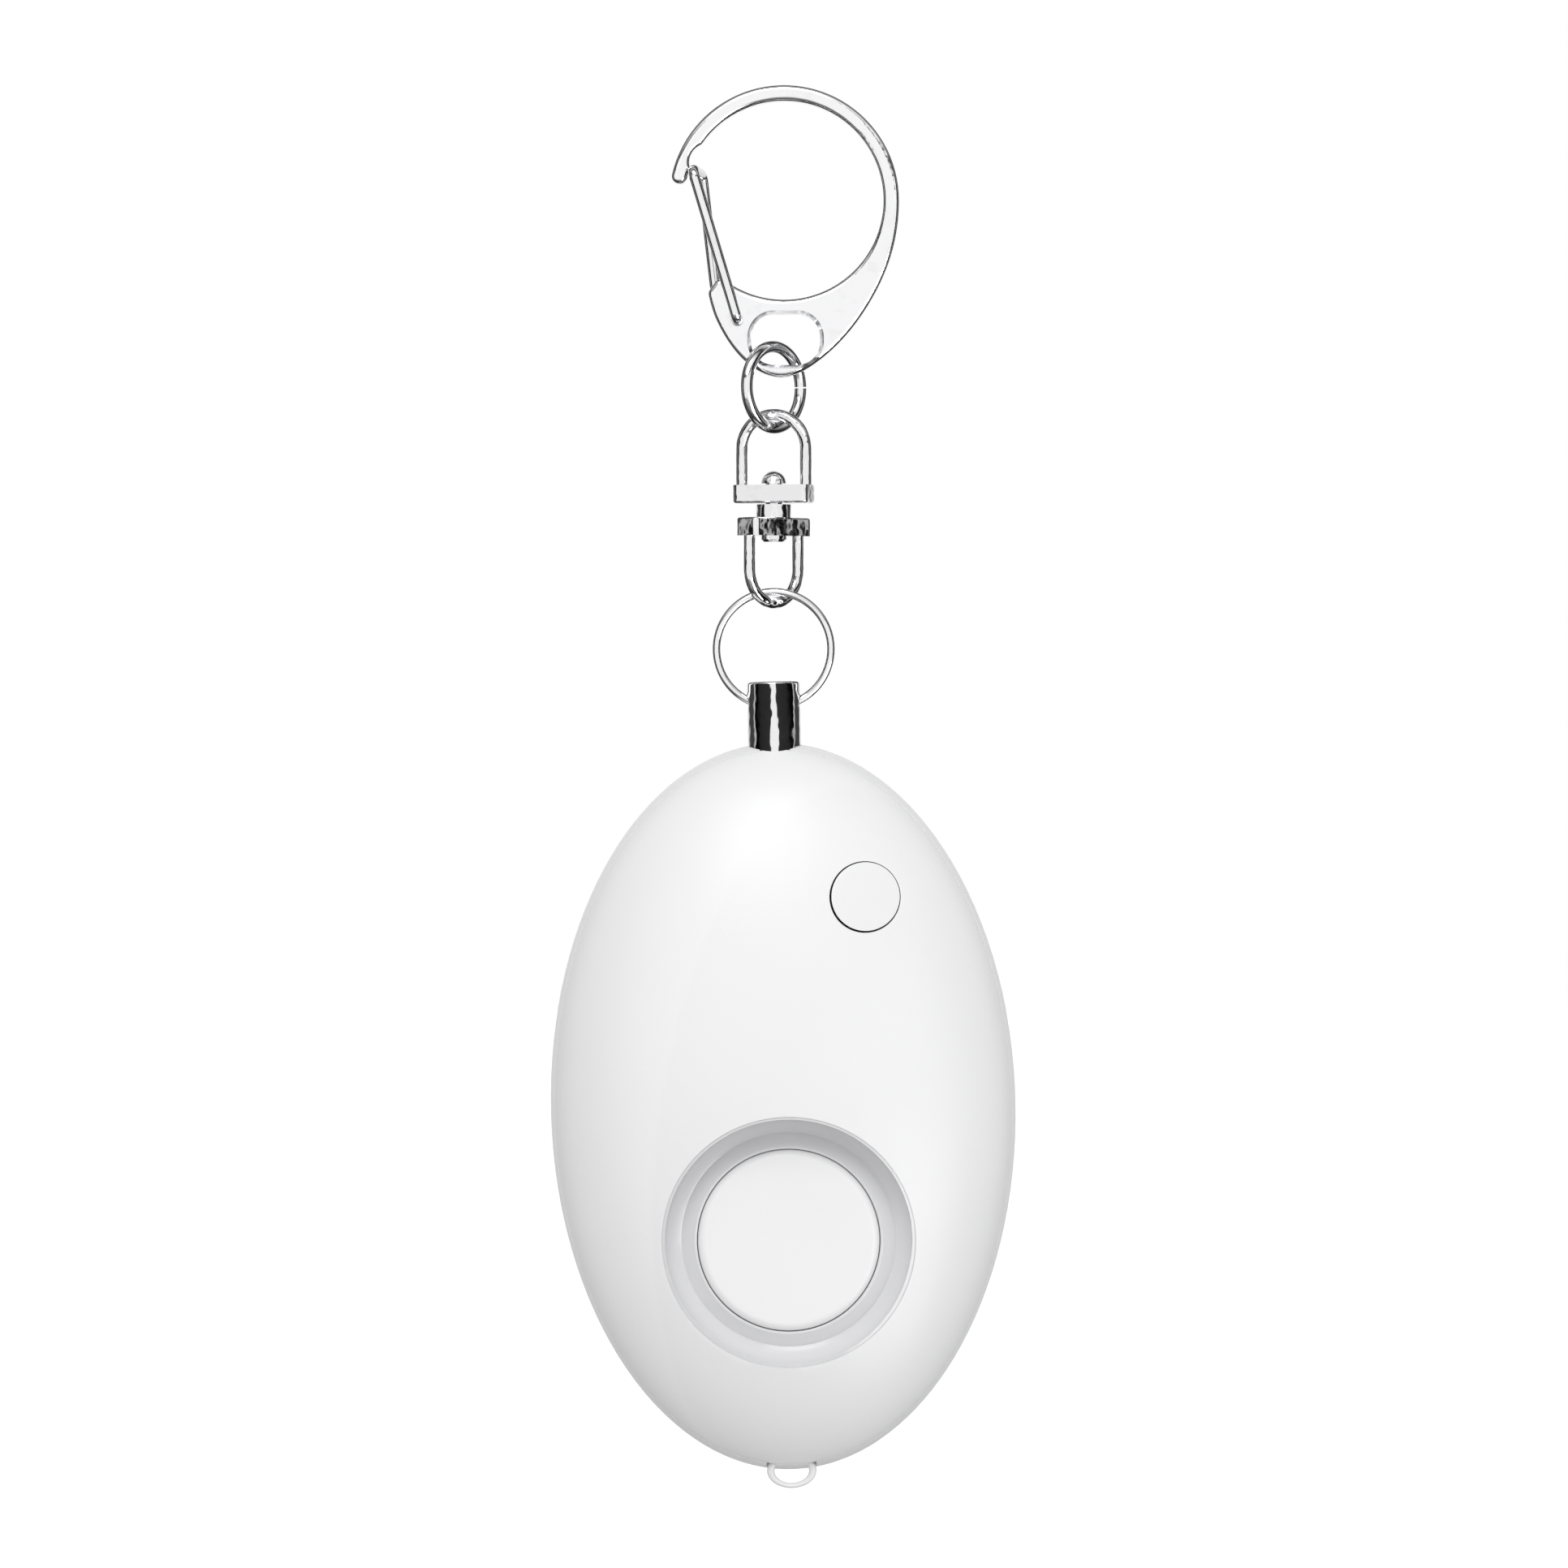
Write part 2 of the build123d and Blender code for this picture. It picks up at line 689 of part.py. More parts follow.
with BuildPart() as back_inside:
    add(well_outer.part)
    add(rods(face, shell_screw_places, back_boss_radius, -back_depth, parting))
    add(rods(face, (cover_screw_place,), screw_boss_radius, -back_depth, -cover_boss_low))
    add(bars(across, ((0, (back_depth - parting) / 2),), 2 * rib_half_width, back_depth + parting,
             rib_low, rib_low + rib_thickness))
    add(rods(across, ((0, 0),), sleeve_waist + solder_gap, rib_low, rib_low + rib_thickness),
        mode=Mode.SUBTRACT)
    add(body_blank.part, mode=Mode.INTERSECT)


def cover_outline(room):
    """Draw the battery cover's outline with room round it, seen from the front."""
    with Locations((0, cell_height)):
        RectangleRounded(2 * (well_outer_half + room), 2 * (well_outer_radius + room), cover_round)
    with Locations(cover_screw_place):
        Circle(cover_tab_radius + room)
        Rectangle(2 * (cover_tab_radius + room), cover_tab_radius + room,
                  align=(Align.CENTER, Align.MIN))


with BuildPart() as cover_recess:
    with BuildSketch(face.offset(-cover_inner_back)):
        cover_outline(cover_gap)
    extrude(amount=-back_depth)

with BuildPart() as back_shell:
    add(slab(front_egg, 0, parting))
    add(slab(back_egg, -back_flat, 0))
    add(seam_groove, mode=Mode.SUBTRACT)
    add(slab(front_hollow, 0, front_depth), mode=Mode.SUBTRACT)
    add(slab(back_hollow, -inner_back_flat, 0), mode=Mode.SUBTRACT)
    add(lip.part)
    add(back_inside.part)
    add(well_inner.part, mode=Mode.SUBTRACT)
    add(cover_recess.part, mode=Mode.SUBTRACT)
    add(rods(face, shell_screw_places, pilot_radius + shank_gap, -back_depth, front_depth),
        mode=Mode.SUBTRACT)
    add(rods(face, shell_screw_places, head_radius + head_gap, -back_depth, -seat_back),
        mode=Mode.SUBTRACT)
    add(rods(face, (cover_screw_place,), pilot_radius, -back_depth, -cover_screw_reach + loose_gap),
        mode=Mode.SUBTRACT)
    add(rods(across, ((0, 0),), pin_hole, sleeve_high, half_height), mode=Mode.SUBTRACT)
    add(bars(across, ((-tab_x, tab_y), (tab_x, tab_y)), contact_thickness + 2 * tab_room,
             tab_width + 2 * tab_room, cell_height, board_low), mode=Mode.SUBTRACT)
    add(loop_slot.part, mode=Mode.SUBTRACT)
export(back_shell.part, "back_shell")

# Sounder dish: drafted wall, rounded corner, slotted floor and a chamber behind it
floor_back = dish_floor + dish_floor_wall
with BuildPart() as sounder_dish:
    with BuildSketch(dish_profile):
        with BuildLine():
            Polyline(
                (stem_radius, -dish_floor),
                (dish_floor_radius, -dish_floor),
                (dish_floor_radius + dish_wall_draft, 0),
                (dish_radius, 0),
                (dish_radius, -dish_back),
                (chamber_radius, -dish_back),
                (chamber_radius, -floor_back),
                (stem_radius, -floor_back),
                close=True,
            )
        make_face()
    revolve(axis=dish_axis)
    floor_corner = sounder_dish.edges().filter_by(GeomType.CIRCLE).filter_by(
        lambda edge: abs(edge.radius - dish_floor_radius) < running_gap)
    fillet(floor_corner, dish_corner)
    add(ellipsoid(dish_rim_inset, front_depth), mode=Mode.INTERSECT)
    with BuildSketch(dish.offset(-floor_back)):
        with PolarLocations(slot_ring_radius, slot_count):
            SlotOverall(slot_length, slot_width, rotation=90)
    extrude(amount=dish_floor_wall, mode=Mode.SUBTRACT)
export(sounder_dish.part, "sounder_dish")

with BuildPart() as sounder_cap:
    with BuildSketch(dish.offset(cap_slit - dish_floor)):
        Circle(cap_radius)
    extrude(amount=dish_floor - cap_slit - cap_top)
    fillet(sounder_cap.faces().sort_by(dish_axis)[-1].edges(), cap_round)
    add(rods(dish, ((0, 0),), stem_radius, -floor_back, cap_slit - dish_floor))
export(sounder_cap.part, "sounder_cap")

# Sounder's disc: brass plate on the back of the dish, ceramic behind it
plate_back = dish_back + piezo_plate_thickness
ceramic_back = plate_back + ceramic_thickness
export(rods(dish, ((0, 0),), piezo_radius, -plate_back, -dish_back), "piezo_plate")
export(rods(dish, ((0, 0),), ceramic_radius, -ceramic_back, -plate_back), "piezo_ceramic")

# Button: round cap that follows the dome, with a flange that holds it in the shell
with BuildPart() as button_cap:
    add(rods(face, (button_place,), button_radius, flange_low, front_depth))
    add(ellipsoid(-button_proud, front_depth), mode=Mode.INTERSECT)
    fillet(button_cap.faces().sort_by(front_axis)[-1].edges(), button_round)
    add(rods(face, (button_place,), button_flange_radius, flange_low, flange_high))
export(button_cap.part, "button_cap")

plunger_foot = switch_top - plunger_dip
export(rods(face, (button_place,), plunger_radius, plunger_foot, flange_low), "switch_plunger")

with BuildPart() as switch_body:
    with BuildSketch(face.offset(board_front)):
        with Locations(button_place):
            RectangleRounded(switch_size, switch_size, switch_corner)
            Circle(plunger_radius + running_gap, mode=Mode.SUBTRACT)
    extrude(amount=switch_height)
export(switch_body.part, "switch_body")

# Circuit board: follows the housing's inside, with notches for the bosses
board_middle_height = (board_low + board_high) / 2
with BuildPart() as circuit_board:
    with BuildSketch(face.offset(board_back)):
        Ellipse(*grown(lip_inside, -board_margin))
        with Locations((0, board_middle_height)):
            Rectangle(2 * half_width, board_high - board_low, mode=Mode.INTERSECT)
        with Locations(*upper_screws):
            Circle(back_boss_radius + loose_gap, mode=Mode.SUBTRACT)
        with Locations(*post_places):
            Circle(post_pin_radius + running_gap, mode=Mode.SUBTRACT)
    extrude(amount=board_thickness)
export(circuit_board.part, "circuit_board")

# Boost coil: a drum with flanges at both ends of its winding
with BuildPart() as boost_coil:
    coil_top = board_front + coil_height
    add(rods(face, (coil_place,), coil_winding_radius, board_front, coil_top))
    add(rods(face, (coil_place,), coil_radius, board_front, board_front + coil_flange))
    add(rods(face, (coil_place,), coil_radius, coil_top - coil_flange, coil_top))
export(boost_coil.part, "boost_coil")

# Control chip: a block with a row of bent leads at both sides
chip_x, chip_y = chip_place
lead_middle = chip_width / 2 + chip_lead_reach / 2
lead_rows = [(chip_x + way * lead_middle, chip_y + (place - (chip_lead_count - 1) / 2) * chip_lead_pitch)
             for way in (-1, 1) for place in range(chip_lead_count)]
with BuildPart() as control_chip:
    with BuildSketch(face.offset(board_front)):
        with Locations(chip_place):
            Rectangle(chip_width, chip_length)
    extrude(amount=chip_height)
    chamfer(control_chip.faces().sort_by(front_axis)[-1].edges(), chip_lead_thickness)
    add(bars(face, lead_rows, chip_lead_reach, chip_lead_width,
             board_front, board_front + chip_lead_thickness))
export(control_chip.part, "control_chip")

# Transistor: a smaller block with three leads
transistor_x, transistor_y = transistor_place
with BuildPart() as transistor:
    add(bars(face, (transistor_place,), transistor_width, transistor_length,
             board_front, board_front + transistor_height))
    leg_drop = (transistor_length + transistor_leg) / 2
    leg_places = ((transistor_x - chip_lead_pitch, transistor_y - leg_drop),
                  (transistor_x + chip_lead_pitch, transistor_y - leg_drop),
                  (transistor_x, transistor_y + leg_drop))
    add(bars(face, leg_places, chip_lead_width, transistor_leg,
             board_front, board_front + chip_lead_thickness))
export(transistor.part, "transistor")

export(bars(face, resistor_places, resistor_width, resistor_length,
            board_front, board_front + resistor_height), "board_resistors")

# Sleeve for the plug: flanges above and below the shells' rib, a neck under the collar
with BuildPart() as pin_socket:
    with BuildSketch(face):
        with BuildLine():
            Polyline(
                (sleeve_inner, sleeve_low),
                (sleeve_outer, sleeve_low),
                (sleeve_outer, rib_low - solder_gap),
                (sleeve_waist, rib_low - solder_gap),
                (sleeve_waist, rib_low + rib_thickness + solder_gap),
                (sleeve_outer, rib_low + rib_thickness + solder_gap),
                (sleeve_outer, sleeve_high),
                (collar_radius, sleeve_high),
                (collar_radius, sleeve_top),
                (sleeve_inner, sleeve_top),
                close=True,
            )
        make_face()
    revolve(axis=Axis(alarm_centre, up))
export(pin_socket.part, "pin_socket")

# Leaf contacts: feet on the back of the board, blades beside the plug
leaf_x = plug_radius + loose_gap
for way, name in ((-1, "contact_spring_left"), (1, "contact_spring_right")):
    with BuildPart() as contact_spring:
        with BuildSketch(across.offset(leaf_low)):
            with BuildLine():
                Polyline(
                    (way * (leaf_x + leaf_foot), -board_back),
                    (way * leaf_x, -board_back),
                    (way * leaf_x, 0),
                    (way * (leaf_x + leaf_flare), leaf_reach),
                    (way * (leaf_x + leaf_flare + leaf_thickness), leaf_reach),
                    (way * (leaf_x + leaf_thickness), 0),
                    (way * (leaf_x + leaf_thickness), leaf_thickness - board_back),
                    (way * (leaf_x + leaf_foot), leaf_thickness - board_back),
                    close=True,
                )
            make_face()
        extrude(amount=leaf_width)
    export(contact_spring.part, name)

# Button cells: a row of three, each with the raised cap of its negative end
for number in range(cell_count):
    cell_start = number * cell_thickness - stack_half
    cell_end = cell_start + cell_thickness
    with BuildPart() as button_cell:
        add(rods(side, (cell_middle,), cell_radius, cell_start, cell_end - cell_cap_height))
        fillet(button_cell.edges().filter_by(GeomType.CIRCLE), cell_cap_height)
        add(rods(side, (cell_middle,), cell_cap_radius, cell_end - cell_cap_height, cell_end))
    export(button_cell.part, f"button_cell_{number + 1}")

# Cell contacts: a plate with a domed bump, and a tab up to the board
tab_top = board_low + tab_overlap
tab_foot = cell_height + contact_size / 2
for way, name in ((-1, "cell_contact_positive"), (1, "cell_contact_negative")):
    plate_start = way * well_half
    plate_end = way * (well_half - contact_thickness)
    with BuildPart() as cell_contact:
        add(bars(side, (cell_middle,), contact_size, contact_size, plate_start, plate_end))
        add(bars(side, ((tab_y, (tab_top + tab_foot) / 2),), tab_width, tab_top - tab_foot,
                 plate_start, plate_end))
        add(rods(side, (cell_middle,), contact_bump_radius, plate_end, way * stack_half))
        bump_rim = cell_contact.faces().sort_by(Axis(alarm_centre, right * -way))[-1].edges()
        chamfer(bump_rim, contact_bump / 2)
    export(cell_contact.part, name)

# Battery cover: follows the egg's back, with grip grooves and a seat for its screw
grip_places = [(0, cell_height + (place - (grip_count - 1) / 2) * grip_pitch)
               for place in range(grip_count)]
with BuildPart() as battery_cover:
    with BuildSketch(face.offset(-cover_inner_back)):
        cover_outline(0)
    extrude(amount=cover_inner_back - back_flat)
    add(back_egg, mode=Mode.INTERSECT)
    with BuildSketch(face.offset(-back_flat)):
        with Locations(*grip_places):
            SlotOverall(grip_width, grip_size)
    extrude(amount=grip_depth, mode=Mode.SUBTRACT)
    add(rods(face, (cover_screw_place,), pilot_radius + shank_gap, -back_depth, 0), mode=Mode.SUBTRACT)
    add(rods(face, (cover_screw_place,), head_radius + head_gap, -back_depth,
             -cover_inner_back - cover_seat), mode=Mode.SUBTRACT)
export(battery_cover.part, "battery_cover")


def screws(places, seat, reach):
    """Return screws with a rounded head on a seat, a cross recess and a shank."""
    head_top = -seat - head_height
    with BuildPart() as row:
        add(rods(face, places, head_radius, head_top, -seat))
        fillet(row.faces().sort_by(front_axis).group_by(front_axis)[0].edges(), head_round)
        add(rods(face, places, pilot_radius, -seat, reach))
        with BuildSketch(face.offset(head_top)):
            with Locations(*places):
                Rectangle(cross_width, cross_length)
                Rectangle(cross_length, cross_width)
        extrude(amount=cross_depth, mode=Mode.SUBTRACT)
    return row.part


export(screws(shell_screw_places, seat_back, shell_screw_reach), "shell_screws")
export(screws((cover_screw_place,), cover_inner_back + cover_seat, -cover_screw_reach), "cover_screw")

# Lanyard loop: an oval band, half of it below the housing
with BuildPart() as lanyard_loop:
    with BuildSketch(parting_plane):
        with Locations(loop_middle):
            RectangleRounded(loop_width, loop_length, loop_corner)
            RectangleRounded(loop_width - 2 * loop_band, loop_length - 2 * loop_band,
                             loop_corner - loop_band, mode=Mode.SUBTRACT)
    extrude(amount=loop_depth / 2, both=True)
    fillet(lanyard_loop.faces().filter_by(Axis(alarm_centre, toward)).edges(), loop_round)
export(lanyard_loop.part, "lanyard_loop")
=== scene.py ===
"""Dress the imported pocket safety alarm: smooth skins, turned pieces, finishes and a studio."""

from __future__ import annotations

import json
import logging
import math
from dataclasses import dataclass, field
from enum import Enum
from typing import Any, Callable

import bpy
from mathutils import Matrix, Vector

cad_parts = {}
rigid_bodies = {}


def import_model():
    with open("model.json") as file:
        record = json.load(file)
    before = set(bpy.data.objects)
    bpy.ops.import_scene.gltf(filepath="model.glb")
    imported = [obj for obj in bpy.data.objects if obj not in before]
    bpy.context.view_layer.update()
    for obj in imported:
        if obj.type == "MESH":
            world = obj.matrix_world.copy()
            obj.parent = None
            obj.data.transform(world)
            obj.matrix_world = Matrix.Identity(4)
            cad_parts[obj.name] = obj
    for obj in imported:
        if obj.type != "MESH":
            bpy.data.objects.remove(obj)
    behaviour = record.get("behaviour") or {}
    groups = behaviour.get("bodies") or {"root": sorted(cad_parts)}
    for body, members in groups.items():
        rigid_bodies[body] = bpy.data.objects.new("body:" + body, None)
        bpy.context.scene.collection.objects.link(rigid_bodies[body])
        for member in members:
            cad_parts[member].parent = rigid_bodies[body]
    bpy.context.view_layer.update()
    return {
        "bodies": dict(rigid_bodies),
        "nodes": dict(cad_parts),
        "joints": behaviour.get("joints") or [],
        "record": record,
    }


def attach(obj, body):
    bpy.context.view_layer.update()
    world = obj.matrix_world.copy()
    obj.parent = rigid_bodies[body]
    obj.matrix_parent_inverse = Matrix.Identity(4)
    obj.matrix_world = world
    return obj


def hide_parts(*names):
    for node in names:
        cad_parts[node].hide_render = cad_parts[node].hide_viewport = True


log = logging.getLogger("alarm")

MM = 0.001
Point = tuple[float, float]
Triple = tuple[float, float, float]
Colour = Triple

OBJECT_OUTPUT = 3
MIXED_COLOUR_OUTPUT = 2
NOISE_ROUGHNESS = 0.55
PLAIN_DETAIL = 2.0
SOFT_DETAIL = 3.0
FINE_DETAIL = 5.0

AXIS_RADIUS = 1e-6
MERGE_DISTANCE = 3e-6
BEHIND_MIDDLE = -1e-7
SKIN_STEPS = 256
DISH_STEPS = 192
ROD_STEPS = 128
HOLLOW_STEPS = 96
NODE_SMOOTH_ANGLE = 30.0
FILM_WIDTH = 36.0


class Socket:
    """A node socket that builds Math nodes when it is used in an expression."""

    def __init__(self, graph: "Graph", socket: bpy.types.NodeSocket) -> None:
        """Wrap a socket.

        Args:
            graph: The graph that new nodes go into.
            socket: The output that is wrapped.
        """
        self.graph = graph
        self.socket = socket

    def _math(self, operation: str, *values: Any) -> "Socket":
        """Add one Math node and return its output."""
        return self.graph.add("ShaderNodeMath", {"operation": operation}, *values)

    def __add__(self, other: Any) -> "Socket":
        """Return the sum."""
        return self._math("ADD", self, other)

    def __sub__(self, other: Any) -> "Socket":
        """Return the difference."""
        return self._math("SUBTRACT", self, other)

    def __mul__(self, other: Any) -> "Socket":
        """Return the product."""
        return self._math("MULTIPLY", self, other)

    def clamped(self) -> "Socket":
        """Return the value kept between nought and one."""
        return self._math("MINIMUM", self.larger(0.0), 1.0)

    def larger(self, other: Any) -> "Socket":
        """Return the larger of two values."""
        return self._math("MAXIMUM", self, other)

    def above(self, other: Any) -> "Socket":
        """Return one where the value is above another, and nought elsewhere."""
        return self._math("GREATER_THAN", self, other)

    def unsigned(self) -> "Socket":
        """Return the value without its sign."""
        return self._math("ABSOLUTE", self)


class Graph:
    """The node tree of one material or of the world."""

    def __init__(self, tree: bpy.types.NodeTree) -> None:
        """Start from an empty tree.

        Args:
            tree: The tree to fill.
        """
        self.tree = tree
        tree.nodes.clear()

    def add(self, kind: str, settings: dict[str, Any], *values: Any, output: int = 0,
            **named: Any) -> Socket:
        """Add a node.

        Args:
            kind: The node's type.
            settings: Its properties, set first. A ramp's stops are given as stops.
            values: Values or sockets for its inputs, in order. None leaves one alone.
            output: Which output is returned.
            named: Values or sockets for inputs by name, with _ for a space.

        Returns:
            The wrapped output.
        """
        node = self.tree.nodes.new(kind)
        for name, value in settings.items():
            if name == "stops":
                self._stops(node, value)
            else:
                setattr(node, name, value)
        for index, value in enumerate(values):
            self._feed(node.inputs[index], value)
        for name, value in named.items():
            self._feed(node.inputs[name.replace("_", " ")], value)
        return Socket(self, node.outputs[output]) if node.outputs else Socket(self, node.inputs[0])

    def _feed(self, target: bpy.types.NodeSocket, value: Any) -> None:
        """Link a socket or set a value on an input."""
        if value is None:
            return
        if isinstance(value, Socket):
            self.tree.links.new(value.socket, target)
        else:
            target.default_value = value

    @staticmethod
    def _stops(node: bpy.types.Node, stops: tuple[Point, ...]) -> None:
        """Set a ramp's grey stops."""
        ramp = node.color_ramp
        while len(ramp.elements) < len(stops):
            ramp.elements.new(1.0)
        for element, (place, grey) in zip(ramp.elements, stops):
            element.position = place
            element.color = (grey, grey, grey, 1.0)

    def place(self) -> Socket:
        """Return the Object coordinates."""
        return self.add("ShaderNodeTexCoord", {}, output=OBJECT_OUTPUT)

    def noise(self, scale: float, detail: float = PLAIN_DETAIL,
              stretch: Triple | None = None) -> Socket:
        """Return a noise on Object coordinates.

        Args:
            scale: Its scale per metre.
            detail: Its levels of detail.
            stretch: A scale for each axis, if it isn't even.

        Returns:
            The noise, about a half.
        """
        where = self.place()
        if stretch:
            where = self.add("ShaderNodeMapping", {}, where, Scale=stretch)
        return self.add("ShaderNodeTexNoise", {}, where, Scale=scale, Detail=detail,
                        Roughness=NOISE_ROUGHNESS)

    def mix(self, share: Any, first: Any, second: Any) -> Socket:
        """Return a mix of two colours."""
        return self.add("ShaderNodeMix", {"data_type": "RGBA"}, share, None, None, None, None, None,
                        first, second, output=MIXED_COLOUR_OUTPUT)

    def bump(self, height: Socket, distance: float, strength: float,
             under: Socket | None = None) -> Socket:
        """Return a normal from a height.

        Args:
            height: The height, from nought to one.
            distance: What a height of one stands for, in metres.
            strength: How much of it shows.
            under: The normal below it.

        Returns:
            The normal.
        """
        return self.add("ShaderNodeBump", {}, Strength=strength, Distance=distance, Height=height,
                        Normal=under)


def shade(colour: Colour) -> tuple[float, float, float, float]:
    """Return a colour with full alpha."""
    return (*colour, 1.0)


@dataclass(frozen=True)
class MouldedPlastic:
    """A moulded plastic with a fine spark-eroded grain, faint flow and handling marks."""

    name: str
    colour: Colour
    shadow_tint: Colour
    roughness: float
    roughness_spread: float
    grain_depth: float = 0.000012
    grain_scale: float = 5200.0
    grain_strength: float = 0.6
    flow_scale: float = 55.0
    flow_gain: float = 1.6
    flow_shift: float = 0.45
    flow_depth: float = 0.00003
    flow_strength: float = 0.25
    mark_scale: float = 260.0
    mark_stretch: Triple = (1.0, 1.0, 0.35)
    refraction: float = 1.5

    def material(self) -> bpy.types.Material:
        """Build the material.

        Returns:
            The new material.
        """
        made = bpy.data.materials.new(self.name)
        made.use_nodes = True
        graph = Graph(made.node_tree)
        flow = graph.noise(self.flow_scale, SOFT_DETAIL)
        marks = graph.noise(self.mark_scale, FINE_DETAIL, self.mark_stretch)
        grain = graph.noise(self.grain_scale)
        share = (flow * self.flow_gain - self.flow_shift).clamped()
        colour = graph.mix(share, shade(self.shadow_tint), shade(self.colour))
        roughness = ((marks - 0.5) * self.roughness_spread + self.roughness).clamped()
        swell = graph.bump(flow, self.flow_depth, self.flow_strength)
        normal = graph.bump(grain, self.grain_depth, self.grain_strength, swell)
        surface = graph.add("ShaderNodeBsdfPrincipled", {}, Base_Color=colour, Roughness=roughness,
                            Normal=normal)
        surface.socket.node.inputs["IOR"].default_value = self.refraction
        graph.add("ShaderNodeOutputMaterial", {}, surface)
        return made


@dataclass(frozen=True)
class PlatedMetal:
    """A bright plated metal: soft casting waves, fine scratches and a few dull spots."""

    name: str
    colour: Colour
    roughness: float
    wave_depth: float
    wave_scale: float = 380.0
    wave_strength: float = 0.6
    scratch_scale: float = 2200.0
    scratch_stretch: Triple = (0.25, 1.0, 1.0)
    scratch_depth: float = 0.000003
    scratch_strength: float = 0.5
    scratch_spread: float = 0.06
    wear: float = 0.12
    wear_scale: float = 700.0
    wear_stops: tuple[Point, Point] = ((0.55, 0.0), (0.75, 1.0))
    wear_shade: float = 0.86
    wear_share: float = 0.6

    def material(self) -> bpy.types.Material:
        """Build the material.

        Returns:
            The new material.
        """
        made = bpy.data.materials.new(self.name)
        made.use_nodes = True
        graph = Graph(made.node_tree)
        waves = graph.noise(self.wave_scale)
        scratches = graph.noise(self.scratch_scale, PLAIN_DETAIL, self.scratch_stretch)
        dull = graph.add("ShaderNodeValToRGB", {"stops": self.wear_stops},
                         graph.noise(self.wear_scale, FINE_DETAIL))
        darker = tuple(channel * self.wear_shade for channel in self.colour)
        colour = graph.mix(dull * self.wear_share, shade(self.colour), shade(darker))
        streaks = (scratches - 0.5) * self.scratch_spread
        roughness = (dull * self.wear + streaks + self.roughness).clamped()
        swell = graph.bump(waves, self.wave_depth, self.wave_strength)
        normal = graph.bump(scratches, self.scratch_depth, self.scratch_strength, swell)
        surface = graph.add("ShaderNodeBsdfPrincipled", {}, Base_Color=colour, Roughness=roughness,
                            Normal=normal)
        surface.socket.node.inputs["Metallic"].default_value = 1.0
        graph.add("ShaderNodeOutputMaterial", {}, surface)
        return made


class Surface(Enum):
    """The finishes of the object's pieces."""

    SHELL = MouldedPlastic("shell_satin_white", (0.86, 0.86, 0.865), (0.83, 0.83, 0.838), 0.36, 0.10)
    BUTTON = MouldedPlastic("button_satin_white", (0.85, 0.85, 0.855), (0.82, 0.82, 0.828), 0.33, 0.10)
    # The dish's grey base colour is painted shade: it makes the sunken recess darker than the white
    # shell. The dish is also glossier than the shell.
    DISH = MouldedPlastic("dish_gloss_painted_shade", (0.73, 0.73, 0.74), (0.70, 0.70, 0.71), 0.16, 0.08,
                          0.000005)
    CAP = MouldedPlastic("cap_satin_white", (0.88, 0.88, 0.885), (0.86, 0.86, 0.865), 0.38, 0.08)
    INNER = MouldedPlastic("inner_white", (0.76, 0.76, 0.74), (0.70, 0.70, 0.68), 0.45, 0.12)
    BOARD = MouldedPlastic("board_green", (0.03, 0.20, 0.07), (0.02, 0.15, 0.05), 0.30, 0.12)
    BLACK = MouldedPlastic("component_black", (0.025, 0.025, 0.027), (0.018, 0.018, 0.02), 0.50, 0.12)
    GREY = MouldedPlastic("component_grey", (0.30, 0.28, 0.25), (0.24, 0.22, 0.19), 0.45, 0.12)
    WINDING = MouldedPlastic("coil_winding", (0.22, 0.09, 0.03), (0.15, 0.06, 0.02), 0.35, 0.12)
    CERAMIC = MouldedPlastic("ceramic_white", (0.78, 0.77, 0.72), (0.72, 0.71, 0.66), 0.40, 0.10)
    CAST = PlatedMetal("clasp_nickel", (0.92, 0.92, 0.93), 0.12, 0.00010)
    SWIVEL = PlatedMetal("swivel_nickel", (0.84, 0.84, 0.85), 0.12, 0.00045, 520.0)
    WIRE = PlatedMetal("wire_nickel", (0.86, 0.86, 0.87), 0.12, 0.00003)
    CHROME = PlatedMetal("collar_chrome", (0.86, 0.86, 0.87), 0.06, 0.00035, 420.0)
    BRASS = PlatedMetal("contact_brass", (0.72, 0.52, 0.22), 0.25, 0.00002)
    STEEL = PlatedMetal("contact_steel", (0.66, 0.66, 0.67), 0.28, 0.00002)
    CELL = PlatedMetal("cell_steel", (0.68, 0.68, 0.69), 0.22, 0.00002)
    SCREW = PlatedMetal("screw_zinc", (0.60, 0.60, 0.61), 0.30, 0.00002)


class Paints:
    """Makes each finish's material once."""

    def __init__(self) -> None:
        """Start with no material."""
        self.made: dict[Surface, bpy.types.Material] = {}

    def put(self, piece: bpy.types.Object, surface: Surface) -> None:
        """Give a piece one finish.

        Args:
            piece: The object to paint.
            surface: The finish.
        """
        if surface not in self.made:
            self.made[surface] = surface.value.material()
        piece.data.materials.clear()
        piece.data.materials.append(self.made[surface])


class Cut(Enum):
    """How one mesh is combined with another."""

    AWAY = "DIFFERENCE"
    WITHIN = "INTERSECT"
    JOIN = "UNION"


def clear_selection() -> None:
    """Leave edit mode and deselect everything."""
    if bpy.context.object and bpy.context.object.mode != "OBJECT":
        bpy.ops.object.mode_set(mode="OBJECT")
    bpy.ops.object.select_all(action="DESELECT")


def choose(piece: bpy.types.Object) -> None:
    """Select one object alone and make it active."""
    clear_selection()
    piece.select_set(True)
    bpy.context.view_layer.objects.active = piece


def stand(piece: bpy.types.Object, frame: Matrix) -> None:
    """Put a piece into a frame and apply its place to its mesh.

    Args:
        piece: The object, modelled about the world's origin.
        frame: The place it goes to.
    """
    choose(piece)
    piece.matrix_world = frame
    bpy.ops.object.transform_apply(location=True, rotation=True, scale=True)


